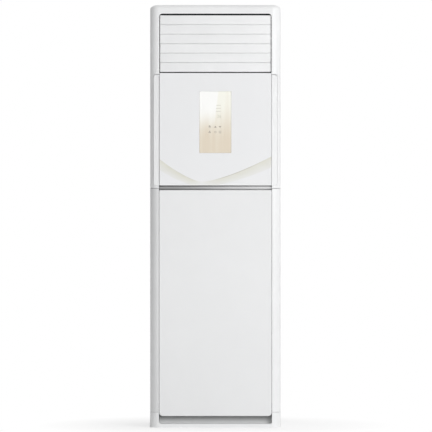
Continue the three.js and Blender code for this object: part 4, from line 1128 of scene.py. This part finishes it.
def powerMark(centreX, centreZ, size):
    # a ring, open at its top for a short bar
    gap = box((centreX - size * 0.3, -1, centreZ + size * 0.2),
              (centreX + size * 0.3, 1, centreZ + size * 2))
    return [cut(printedRing(centreX, centreZ, size, size * window["lineShare"]), gap),
            printedBar(centreX, centreZ + size * 0.75, size * 0.3, size * 1.2)]


def fanMark(centreX, centreZ, size):
    leaves = []
    for turn in (90, 210, 330):
        leafX = centreX + size * 0.55 * math.cos(math.radians(turn))
        leafZ = centreZ + size * 0.55 * math.sin(math.radians(turn))
        leaves.append(rod("y", size * 0.42, printRange(), (leafX, leafZ), 16))
    return leaves


def windowDigits():
    return printedText("26", window["digitHeight"], window["digitsMiddle"], windowTop - window["digitsDown"])


def windowMarks():
    middleBar = windowTop - window["barsDown"]
    marks = [printedBar(window["barsMiddle"], middleBar + step * window["barPitch"],
                        window["barLength"], window["barHeight"]) for step in (-1, 0, 1)]
    size = window["keySize"]
    ring = size * window["ringShare"]
    upper, lower = (windowTop - down for down in window["keyRows"])
    left, middle, right = window["keyColumns"]
    marks += powerMark(left, upper, ring)
    marks.append(triangleMark(middle, upper, size, True))
    marks.append(triangleMark(right, upper, size, False))
    marks += fanMark(left, lower, size)
    marks.append(printedRing(middle, lower, ring, size * window["lineShare"]))
    marks += [printedBar(right, lower + step * size * 0.7, size * 2, size * 0.3) for step in (-1, 0, 1)]
    return marks


def displayWindow():
    low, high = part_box("display_window")
    corner = window["cornerRadius"]
    return plate((low.x, low.z), (high.x, high.z), low.y + window["faceStep"], high.y, (corner, corner),
                 window["edgeRound"], 4)


dress("display_window", softened(displayWindow(), 0.0002, 1, 50))
addPiece("window_marks", gathered(windowMarks()), "cabinet", "gold_glass", looks["key_print"])
addPiece("window_digits", windowDigits(), "cabinet", "gold_glass", looks["faint_print"])

print("display window made")


# slats

slatShape = {
    "arm": 0.0113,               # from its face to its pivot
    "height": 0.0382,
    "drop": 0.0025,              # the blade's middle below its pivot
    "crown": 0.0012,
    "thickness": 0.0025,
    "lapReach": 0.0042,          # a lip behind the slat above
    "lapThickness": 0.0010,
    "lapGap": 0.0006,
    "lapSink": 0.0012,           # how far the lip's root runs into the blade
    "lapRoot": (0.0032, 0.0022, 0.0006, 0.0012),   # its root's corners, below the blade's top
    "endGap": 0.0054,            # to the outlet frame
    "edgeRound": 0.0009,
    "pinRadius": 0.0025,
    "cheek": 0.0030,
    "cheekRoot": 0.012,          # half its height on the blade
    "cheekNose": 0.004,          # half its height behind the pivot, and how far it passes it
    "crankRadius": 0.016,
    "crankAngle": 40,
    "crankRoot": 0.003,          # the crank past its pivot and its pin
    "crankTip": 0.002,
    "crankPinRadius": 0.0016,
    "crankPinLength": 0.004,
    "faceSteps": 10,
}

slatNodes = sorted(name for name in nodes if name.startswith("slat_") and name[-1].isdigit())


def slatBlade(length):
    # a shallow curve, its middle furthest forward
    half = slatShape["height"] / 2
    steps = slatShape["faceSteps"]
    front = []
    rear = []
    for step in range(steps + 1):
        z = -half + 2 * half * step / steps
        bulge = slatShape["crown"] * (z / half) ** 2
        front.append((-slatShape["arm"] + bulge, z - slatShape["drop"]))
        rear.append((-slatShape["arm"] + bulge + slatShape["thickness"], z - slatShape["drop"]))
    return alongX(front + rear[::-1], (-length, length))


def slatLap(length):
    # the lip that closes the gap behind the slat above
    rearFace = -slatShape["arm"] + slatShape["crown"] + slatShape["thickness"]
    root = rearFace - slatShape["lapSink"]
    front = rearFace + slatShape["lapGap"]
    back = front + slatShape["lapThickness"]
    top = slatShape["height"] / 2 - slatShape["drop"]
    reach = top + slatShape["lapReach"]
    rootLow, backLow, frontFoot, rootHigh = (top - down for down in slatShape["lapRoot"])
    outline = [(root, rootLow), (back, backLow), (back, reach),
               (front, reach), (front, frontFoot), (root, rootHigh)]
    return alongX(outline, (-length, length))


def slatCrank(length):
    # the arm and pin at the right end that the link takes hold of
    turn = math.radians(slatShape["crankAngle"])
    pinY = slatShape["crankRadius"] * math.cos(turn)
    pinZ = slatShape["crankRadius"] * math.sin(turn)
    root = slatShape["crankRoot"]
    tip = slatShape["crankTip"]
    arm = alongX([(0, -root), (pinY + root, pinZ - tip), (pinY + tip, pinZ + root), (-root, root)],
                 (length - slatShape["cheek"], length))
    pinReach = (length - cabinet["sink"], length + slatShape["crankPinLength"])
    pin = rod("x", slatShape["crankPinRadius"], pinReach, (pinY, pinZ), 16)
    return arm, pin


def slatMesh(isLead):
    # about its pivot; the lead slat has the long pin to its motor and no lip
    leftEnd, rightEnd = (corner.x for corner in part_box("slat_1" if isLead else "slat_2"))
    length = halfBetweenPosts - slatShape["endGap"]
    root = -slatShape["arm"] + slatShape["thickness"] - cabinet["sink"]
    nose = slatShape["cheekNose"]
    high = slatShape["cheekRoot"]
    cheekOutline = [(root, -high), (nose, -nose), (nose, nose), (root, high)]
    inner = length - slatShape["cheek"]
    cheeks = [alongX(cheekOutline, reach) for reach in ((-length, -inner), (inner, length))]
    pinRoot = length - cabinet["sink"]
    pins = [rod("x", slatShape["pinRadius"], reach, (0, 0), 20)
            for reach in ((pinRoot, rightEnd), (leftEnd, -pinRoot))]
    laps = [] if isLead else [slatLap(length)]
    whole = joined(slatBlade(length), *cheeks, *pins, *slatCrank(length), *laps)
    return softened(whole, slatShape["edgeRound"], 3, 45)


leadSlat = slatMesh(True)
plainSlat = slatMesh(False)
for name in slatNodes:
    pivot = jointPlace(name + "_turn")
    shape = leadSlat if name == "slat_1" else plainSlat
    dress(name, moved(shape, (0, pivot.y, pivot.z)))

print("slats made:", len(slatNodes))


# outlet frame: dark strips behind the slats' sweep close the view over and under them and stand in for the
# shade seen in those gaps

outletShadeStrips = {
    "setback": 0.0255,           # of its strips, behind the slats' pivots
    "depth": 0.0025,
    "sideLap": 0.0005,
    "topHeight": 0.009,
    "topLap": 0.002,
    "footHeight": 0.0055,
}


def outletFrame():
    half = halfBetweenPosts + outletShadeStrips["sideLap"]
    front = jointPlace("slat_1_turn").y + outletShadeStrips["setback"]
    back = front + outletShadeStrips["depth"]
    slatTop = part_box(slatNodes[0])[1].z
    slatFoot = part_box(slatNodes[-1])[0].z
    # dark strips that stand in for the shade in the gaps over and under the slats
    strips = [box((-half, front, slatTop - outletShadeStrips["topLap"]),
                  (half, back, slatTop + outletShadeStrips["topHeight"])),
              box((-half, front, slatFoot - outletShadeStrips["footHeight"]), (half, back, slatFoot))]
    return softened(joined(nodes["outlet_frame"].data.copy(), *strips), 0.0005, 2)


dress("outlet_frame", outletFrame())

print("outlet frame made")


# side intakes

grille = {
    "border": 0.010,
    "bars": 38,
    "barThickness": 0.0014,
    "barLean": 35,               # degrees
    "ribs": 3,
    "ribWidth": 0.003,
    "ribDepth": 0.002,
    "ribInset": 0.0002,          # out from the rim's inner face
    "pinReach": 0.0028,          # past the rim's ends
    "pinRadius": 0.0016,
    "cornerRadius": 0.004,
}


def sidewaysPlate(low, high, radius, edge):
    # a rounded plate that faces +X, drawn as an upright one and turned
    flat = plate((low.y, low.z), (high.y, high.z), -high.x, -low.x, (radius, radius), edge, 3)
    turn = Matrix(((0, -1, 0, 0), (1, 0, 0, 0), (0, 0, 1, 0), (0, 0, 0, 1)))
    return moved(flat, turn=turn)


def grilleBar(middle, z, reach, ends):
    # a bar that leans down towards the outside
    lean = math.radians(grille["barLean"])
    drop = reach * math.tan(lean)
    half = grille["barThickness"] / 2 / math.cos(lean)
    outline = [(middle - reach, z + drop - half), (middle + reach, z - drop - half),
               (middle + reach, z - drop + half), (middle - reach, z + drop + half)]
    return stacked([[(x, y, height) for x, height in outline] for y in ends])


def intakeGrille():
    low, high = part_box("intake_grille_right")
    border = grille["border"]
    sink = cabinet["sink"]
    faceLow = Vector((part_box("air_filter_right")[1].x + cabinet["fit"], low.y + grille["pinReach"], low.z))
    faceHigh = Vector((high.x, high.y - grille["pinReach"], high.z))
    openLow = faceLow.z + border
    openHigh = faceHigh.z - border
    rim = cut(sidewaysPlate(faceLow, faceHigh, grille["cornerRadius"], 0.001),
              box((0, faceLow.y + border, openLow), (1, faceHigh.y - border, openHigh)))
    middle = (faceLow.x + faceHigh.x) / 2
    reach = (faceHigh.x - faceLow.x - sink) / 2
    ends = (faceLow.y + border / 2, faceHigh.y - border / 2)
    pitch = (openHigh - openLow) / grille["bars"]
    bars = [grilleBar(middle, openLow + (count + 0.5) * pitch, reach, ends)
            for count in range(grille["bars"])]
    ribs = []
    ribBack = faceLow.x + grille["ribInset"]
    for count in range(grille["ribs"]):
        y = faceLow.y + (faceHigh.y - faceLow.y) * (count + 1) / (grille["ribs"] + 1)
        ribs.append(box((ribBack, y - grille["ribWidth"] / 2, openLow - 2 * sink),
                        (ribBack + grille["ribDepth"], y + grille["ribWidth"] / 2, openHigh + 2 * sink)))
    pivot = jointPlace("intake_right_tilt")
    pins = [rod("y", grille["pinRadius"], pinReach, (pivot.x, pivot.z), 16)
            for pinReach in ((low.y, faceLow.y + sink), (faceHigh.y - sink, high.y))]
    return gathered([softened(form, 0.0002, 1, 50) for form in (joined(rim, *pins), *bars, *ribs)])


rightGrille = intakeGrille()
dress("intake_grille_right", rightGrille)
dress("intake_grille_left", mirrored(rightGrille))

print("intake grilles made")


# air filters

filterShape = {
    "rim": 0.0065,
    "ribs": 3,
    "ribWidth": 0.003,
    "ribInset": 0.001,           # behind the rim's faces
    "pitch": 0.0042,             # of the net
    "strand": 0.0006,
}


def filterFrame(low, high):
    # a rim with ribs across and one upright
    rim = filterShape["rim"]
    inset = filterShape["ribInset"]
    half = filterShape["ribWidth"] / 2
    inner = (Vector((low.x + inset, low.y + inset, low.z + inset)),
             Vector((high.x - inset, high.y - inset, high.z - inset)))
    outside = cut(box(low, high), box((0, low.y + rim, low.z + rim), (1, high.y - rim, high.z - rim)))
    ribs = []
    for count in range(filterShape["ribs"]):
        z = low.z + (high.z - low.z) * (count + 1) / (filterShape["ribs"] + 1)
        ribs.append(box((inner[0].x, inner[0].y, z - half), (inner[1].x, inner[1].y, z + half)))
    middle = (low.y + high.y) / 2
    ribs.append(box((inner[0].x, middle - half, inner[0].z), (inner[1].x, middle + half, inner[1].z)))
    return softened(joined(outside, *ribs), 0.0004, 2)


def airFilter():
    low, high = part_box("air_filter_right")
    rim = filterShape["rim"]
    pitch = filterShape["pitch"]
    thin = filterShape["strand"] / 2
    netX = (low.x + high.x) / 2
    lowX, highX = netX - thin, netX + thin
    strands = []
    for count in range(int((high.z - low.z - 2 * rim) / pitch)):
        z = low.z + rim + (count + 0.5) * pitch
        strands.append(box((lowX, low.y + rim / 2, z - thin), (highX, high.y - rim / 2, z + thin)))
    for count in range(int((high.y - low.y - 2 * rim) / pitch)):
        y = low.y + rim + (count + 0.5) * pitch
        strands.append(box((lowX, y - thin, low.z + rim / 2), (highX, y + thin, high.z - rim / 2)))
    return gathered([filterFrame(low, high)] + strands)


rightFilter = airFilter()
dress("air_filter_right", rightFilter)
dress("air_filter_left", mirrored(rightFilter))

print("filters made")


# back panel, and the screws of the back and sides

screwShape = {
    "radius": 0.0040,
    "height": 0.0012,
    "profile": ((0.86, -0.0006), (1, -0.0002), (1, 0.00054), (0.86, 0.00102), (0.5, 0.0012)),
    "slotLength": 0.0026,
    "slotWidth": 0.0006,
    "slotDepth": 0.0007,
    "sinkGap": 0.0004,           # between a flush head and its hole
}


beads = {
    "heights": (0.42, 0.78, 1.14, 1.5),
    "length": 0.43,
    "width": 0.030,
    "depth": 0.0026,
    "flank": 0.004,              # width of its slope
    "sheet": 0.0006,             # how much wider its bulge is on the inside
    "endShare": 0.98,            # its ends' radius, as a share of half its width
    "past": 0.0004,              # the trough's form runs this far past the panel's face
}


fixings = {
    "backHeights": (0.095, 0.5, 0.93, 1.32, 1.7),
    "backInset": 0.010,
    "sideHeights": (0.10, 0.48, 0.86, 1.27, 1.68),
    "sideInset": 0.011,
}


def screwHead():
    # a head with a cross slot, at the origin and facing +Z
    rings = []
    for share, rise in screwShape["profile"]:
        rings.append([(x, y, rise) for x, y in arc(0, 0, screwShape["radius"] * share, 0, 360, 20)[:-1]])
    long = screwShape["slotLength"]
    thin = screwShape["slotWidth"]
    slotFoot = screwShape["height"] - screwShape["slotDepth"]
    slots = [box((-long, -thin, slotFoot), (long, thin, 1)), box((-thin, -long, slotFoot), (thin, long, 1))]
    return softened(cut(stacked(rings), *slots), 0.0001, 1, 40)


def screwsAt(places, turn):
    head = screwHead()
    return gathered([moved(head, place, turn) for place in places])


def bead(z, front, back, grown):
    # a sloped trough from the outside `back` in to `front`, grown all round by `grown`
    half = beads["length"] / 2 + grown
    wide = beads["width"] / 2 + grown
    endRadius = wide * beads["endShare"]
    corners = ((-half, z - wide), (half, z + wide), (endRadius, endRadius))
    slope = beads["flank"] / beads["depth"]
    rings = []
    for y in (front, back):
        rings.append(upright(roundedRect(*corners, max(0, (back - y) * slope)), y))
    return stacked(rings)


def backPanel():
    low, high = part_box("back_panel")
    middle = low.y + (high.y - low.y) / 2
    bulges = [bead(z, low.y - beads["depth"], middle, beads["sheet"]) for z in beads["heights"]]
    troughs = [bead(z, high.y - beads["depth"], high.y + beads["past"], 0) for z in beads["heights"]]
    holeRadius = screwShape["radius"] + screwShape["sinkGap"]
    holes = [rod("y", holeRadius, (0, 1), (place[0], place[2]), 24) for place in backScrewPlaces()]
    sheet = joined(nodes["back_panel"].data.copy(), *bulges)
    return softened(cut(sheet, *troughs, *holes), 0.0003, 2, 20)


def backScrewPlaces():
    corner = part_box("back_panel")[1]
    x = corner.x - fixings["backInset"]
    y = corner.y - screwShape["height"]
    return [(side * x, y, z) for side in (-1, 1) for z in fixings["backHeights"]]


def sideScrewPlaces():
    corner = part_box("side_panel_right")[1]
    return [(corner.x, corner.y - fixings["sideInset"], z) for z in fixings["sideHeights"]]


dress("back_panel", backPanel())
addPiece("back_screws", screwsAt(backScrewPlaces(), Matrix.Rotation(math.radians(-90), 4, "X")),
         bodyOfNode["back_panel"], "plain_steel")
rightScrews = screwsAt(sideScrewPlaces(), Matrix.Rotation(math.radians(90), 4, "Y"))
addPiece("side_screws_right", rightScrews, bodyOfNode["side_panel_right"], "plain_steel")
addPiece("side_screws_left", mirrored(rightScrews), bodyOfNode["side_panel_left"], "plain_steel")

print("back panel and screws made")


# foam inside the lower panel

liner = {
    "sideMargin": 0.016,
    "endMargin": 0.030,
    "thickness": 0.009,
    "cornerRadius": 0.014,
    "edgeRound": 0.001,
    "seams": 2,                  # pressed lines across it
    "seamWidth": 0.004,
    "seamDepth": 0.003,
}


def panelLiner():
    low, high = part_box("lower_panel")
    half = halfBetweenPosts - lowerPanel["sideGap"] - liner["sideMargin"]
    front = low.y + lowerPanel["frontSheet"] + cabinet["fit"]
    back = front + liner["thickness"]
    foot = low.z + liner["endMargin"]
    top = high.z - liner["endMargin"]
    corner = liner["cornerRadius"]
    slab = alongY(roundedRect((-half, foot), (half, top), (corner, corner)), (front, back))
    tools = []
    for count in range(liner["seams"]):
        z = foot + (top - foot) * (count + 1) / (liner["seams"] + 1)
        tools.append(box((-half - 1, back - liner["seamDepth"], z - liner["seamWidth"] / 2),
                         (half + 1, 1, z + liner["seamWidth"] / 2)))
    return softened(cut(slab, *tools), liner["edgeRound"], 2)


addPiece("lower_panel_liner", panelLiner(), bodyOfNode["lower_panel"], "pale_foam")

print("liner made")


# blower

blower = {
    "lipReach": 0.008,           # the inlet's lip stands out of the housing's front wall
    "sunk": 0.0005,              # how far the mouldings start inside that wall
    "ribs": 24,                  # round the inlet
    "ribInner": 0.153,
    "ribOuter": 0.178,
    "ribWidth": 0.0018,
    "ribHeight": 0.0035,
    "ringStep": 0.0004,          # the ring and the ribs lie this far behind the bosses' faces
    "ribStep": 0.0008,
    "bosses": 8,
    "bossCircle": 0.1655,
    "bossRadius": 0.0052,
    "bossPhase": 0.25,           # of the way from one boss to the next
    "noseLength": 0.0079,        # the shaft's nose, ahead of the hub
    "nutRadius": 0.0105,
    "nutHeight": 0.0065,
    "nutSink": 0.0002,           # into the washer
    "washerRadius": 0.0135,
    "washerHeight": 0.0012,
    "boreGap": 0.0002,
}


def bossPlaces():
    centre = jointPlace("blower_spin")
    radius = blower["bossCircle"]
    pitch = 2 * math.pi / blower["bosses"]
    turns = [pitch * (count + blower["bossPhase"]) for count in range(blower["bosses"])]
    return [(centre.x + radius * math.cos(turn), centre.z + radius * math.sin(turn)) for turn in turns]


def housingFace():
    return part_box("blower_housing_front")[0].y + blower["lipReach"]


def inletRibs():
    # a ring, ribs and screw bosses moulded on the housing round its inlet
    centre = jointPlace("blower_spin")
    middle = (centre.x, centre.z)
    sunk = housingFace() + blower["sunk"]
    front = housingFace() - blower["ribHeight"]
    outer = blower["ribOuter"]
    half = blower["ribWidth"] / 2
    forms = [cut(rod("y", outer, (front + blower["ringStep"], sunk), middle, 96),
                 rod("y", outer - blower["ribWidth"], (-1, 1), middle, 96))]
    for count in range(blower["ribs"]):
        rib = box((blower["ribInner"], front + blower["ribStep"], -half),
                  (outer - cabinet["sink"], sunk, half))
        turn = Matrix.Rotation(2 * math.pi * (count + 0.5) / blower["ribs"], 4, "Y")
        forms.append(moved(rib, (centre.x, 0, centre.z), turn))
    forms += [rod("y", blower["bossRadius"], (front, sunk), place, 24) for place in bossPlaces()]
    return gathered([softened(form, 0.0004, 2) for form in forms])


def housingScrews():
    front = housingFace() - blower["ribHeight"]
    return screwsAt([(x, front, z) for x, z in bossPlaces()], Matrix.Rotation(math.radians(90), 4, "X"))


def hubNut():
    # a washer and a six-sided nut on the shaft's nose, against the hub
    centre = jointPlace("blower_spin")
    middle = (centre.x, centre.z)
    low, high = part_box("motor_shaft")
    back = low.y + blower["noseLength"]
    step = back - blower["washerHeight"]
    bore = rod("y", (high.x - low.x) / 2 + blower["boreGap"], (-1, 1), middle, 32)
    washer = rod("y", blower["washerRadius"], (step, back), middle, 40)
    nut = rod("y", blower["nutRadius"], (step - blower["nutHeight"], step + blower["nutSink"]), middle, 6)
    return softened(cut(joined(washer, nut), bore), 0.0004, 2)


housing = bodyOfNode["blower_housing_front"]
addPiece("inlet_ribs", inletRibs(), housing, slotOfNode["blower_housing_front"])
addPiece("housing_screws", housingScrews(), housing, "plain_steel")
addPiece("hub_nut", hubNut(), bodyOfNode["blower_wheel"], "plain_steel")
dress("blower_wheel", refined("blower_wheel", 0.0002), looks["wheel_grey"])

print("blower made")


# the rest, with their edges rounded

# painted shade: the toe plate is darker towards its top, the cross rail darker towards its left end
dress("toe_plate", refined("toe_plate", 0.0008), looks["toe_painted_shade"])
dress("cross_rail", refined("cross_rail", 0.0006), looks["groove_painted_shade"])

edgeRounds = {
    "side_panel_left": 0.0004, "side_panel_right": 0.0004, "pipe_grommet": 0.0005, "cable_gland": 0.0006,
    "base_pan": 0.0005, "outlet_duct": 0.001, "aux_heater": 0.0003, "slat_link": 0.0003,
    "vane_link": 0.0003, "slat_motor": 0.0005, "vane_motor": 0.0005, "mid_deck": 0.0003,
    "front_partition": 0.0003, "electrical_box": 0.0003, "electrical_cover": 0.0003,
    "main_board": 0.0003, "display_board": 0.0003, "drain_pan": 0.001, "drain_hose": 0.0005,
    "motor_bracket": 0.0005, "fan_motor": 0.001, "blower_stand": 0.0004, "motor_shaft": 0.0004,
    "coil_plate_left": 0.0002, "coil_plate_right": 0.0002, "gas_pipe": 0.0004, "liquid_pipe": 0.0003,
    "blower_housing_front": 0.0006, "blower_housing_rear": 0.0006, "evaporator_coil": 0.0002,
}
vaneNodes = sorted(name for name in nodes if name.startswith("vane_") and name[-1].isdigit())
edgeRounds.update({name: 0.0004 for name in vaneNodes})

for node, width in edgeRounds.items():
    dress(node, refined(node, width))

print("other pieces rounded:", len(edgeRounds))
